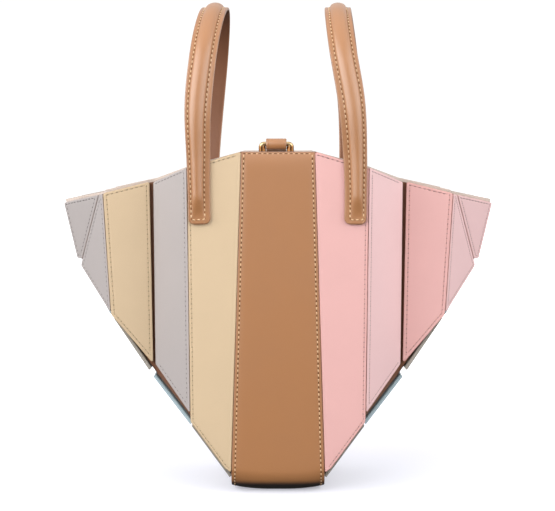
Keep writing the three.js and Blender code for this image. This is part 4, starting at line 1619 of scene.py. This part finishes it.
@dataclass
class Studio:
    """A plain pale floor, soft light and the camera of the photograph."""

    camera_place: tuple[float, float, float] = (-0.45 * MM, -1150 * MM, 309 * MM)
    camera_down: float = math.radians(5.17)
    lens: float = 83.0
    sensor: float = 36.0
    floor_half: float = 6.0
    floor_seen: Colour = (0.66, 0.66, 0.7, 1.0)
    floor_cloud: float = 0.985
    floor_rough: float = 0.8
    floor_thrown: Colour = (0.012, 0.011, 0.01, 1.0)
    glow_near: Colour = (0.34, 0.34, 0.37, 1.0)
    glow_far: Colour = (1.0, 1.0, 1.0, 1.0)
    glow_range: tuple[float, float] = (0.2, 0.9)
    sky: Colour = (0.985, 0.99, 1.0, 1.0)
    sky_low: float = 0.75
    sky_high: float = 0.85
    sky_front: float = 0.15
    sky_front_range: tuple[float, float] = (-0.95, -0.25)
    sky_seen: Colour = (1.0, 1.0, 1.0, 1.0)
    sky_seen_strength: float = 1.05
    lights: tuple[Softbox, ...] = (
        Softbox("key_light", (-1.3, -1.05, 0.75), (2.4, 1.8), 48.0),
        Softbox("fill_light", (1.3, -1.05, 0.75), (2.4, 1.8), 32.0),
        Softbox("top_light", (0.0, -0.3, 1.6), (1.8, 1.4), 2.0),
    )

    def build(self) -> None:
        """Builds the floor, the light and the camera."""
        self.build_floor()
        self.build_sky()
        for light in self.lights:
            light.build()
        self.build_camera()
        bpy.context.scene.view_settings.view_transform = "Standard"

    @staticmethod
    def seen_or_lit(tree: NodeTree, lit: bpy.types.Node, seen: bpy.types.Node) -> Socket:
        """Returns one shader for the camera and another one for the light that goes on."""
        to_camera = tree.add("LightPath").outputs["Is Camera Ray"]
        return tree.add("MixShader", {0: to_camera, 1: lit.outputs[0], 2: seen.outputs[0]}).outputs[0]

    def build_floor(self) -> None:
        """Lays a pale floor that glows a little where it is seen and throws little light back."""
        half = self.floor_half
        corners = [(-half, -half, 0), (half, -half, 0), (half, half, 0), (-half, half, 0)]
        mesh = bpy.data.meshes.new("floor")
        mesh.from_pydata(corners, [], [(0, 1, 2, 3)])
        material, tree = new_material("floor")
        where = tree.place()
        cloud = tree.noise(where, 3.0, 2.0)
        colour = tree.mix(cloud, self.floor_seen, scaled(self.floor_seen, self.floor_cloud))
        away = tree.add("VectorMath", {0: where}, operation="LENGTH").outputs["Value"]
        share = tree.spread(away, *self.glow_range, 0.0, 1.0)
        # The seen floor glows, weakly near the bag and fully from 0.9 m out: painted light that whitens the
        # floor and the edges of its shadows.
        seen = tree.add("BsdfPrincipled", {
            "Base Color": colour, "Roughness": self.floor_rough,
            "Emission Color": tree.mix(share, self.glow_near, self.glow_far), "Emission Strength": 1.0,
        })
        thrown = tree.add("BsdfPrincipled", {"Base Color": self.floor_thrown, "Roughness": self.floor_rough})
        tree.add("OutputMaterial", {"Surface": self.seen_or_lit(tree, thrown, seen)})
        mesh.materials.append(material)
        floor = bpy.data.objects.new("floor", mesh)
        bpy.context.scene.collection.objects.link(floor)

    def build_sky(self) -> None:
        """Lights the studio from above and the sides, less from the front, and white where it is seen."""
        world = bpy.data.worlds.new("studio")
        world.use_nodes = True
        tree = NodeTree(world.node_tree)
        towards = tree.add("SeparateXYZ", {0: tree.add("TexCoord").outputs["Generated"]}).outputs
        upward = tree.spread(towards["Z"], 0.0, 1.0, self.sky_low, self.sky_high)
        from_front = tree.spread(towards["Y"], *self.sky_front_range, self.sky_front, 1.0)
        strength = tree.maths("MULTIPLY", upward, from_front)
        even = tree.add("Background", {"Color": self.sky, "Strength": strength})
        seen = tree.add("Background", {"Color": self.sky_seen, "Strength": self.sky_seen_strength})
        tree.add("OutputWorld", {"Surface": self.seen_or_lit(tree, even, seen)})
        bpy.context.scene.world = world

    def build_camera(self) -> None:
        """Stands the camera where the photograph was taken."""
        data = bpy.data.cameras.new("camera")
        data.lens = self.lens
        data.sensor_width = self.sensor
        data.sensor_fit = "HORIZONTAL"
        camera = bpy.data.objects.new("camera", data)
        camera.location = self.camera_place
        camera.rotation_euler = (math.pi / 2 - self.camera_down, 0.0, 0.0)
        bpy.context.scene.collection.objects.link(camera)
        bpy.context.scene.camera = camera


def main() -> None:
    """Builds and dresses the whole bag in its studio."""
    logging.basicConfig(level=logging.INFO, format="%(name)s %(message)s")
    Studio().build()
    finishes = Finishes()
    shop = Workshop(finishes, Stitching(finishes))
    # The shell takes the brown leather, the tan darkened as painted shade.
    SoftWall("body_shell", Leather.BROWN.value).build(finishes.leather[Leather.BROWN])
    SoftWall("body_lining", "lining", flare=5.0 * MM).build(finishes.lining)
    CentreStrip().build(shop)
    Cladding().build(shop)
    for side in ("left", "right"):
        Handle(side).build(shop)
    Closure().build(shop)
    shop.stitching.build()


if __name__ == "__main__":
    main()
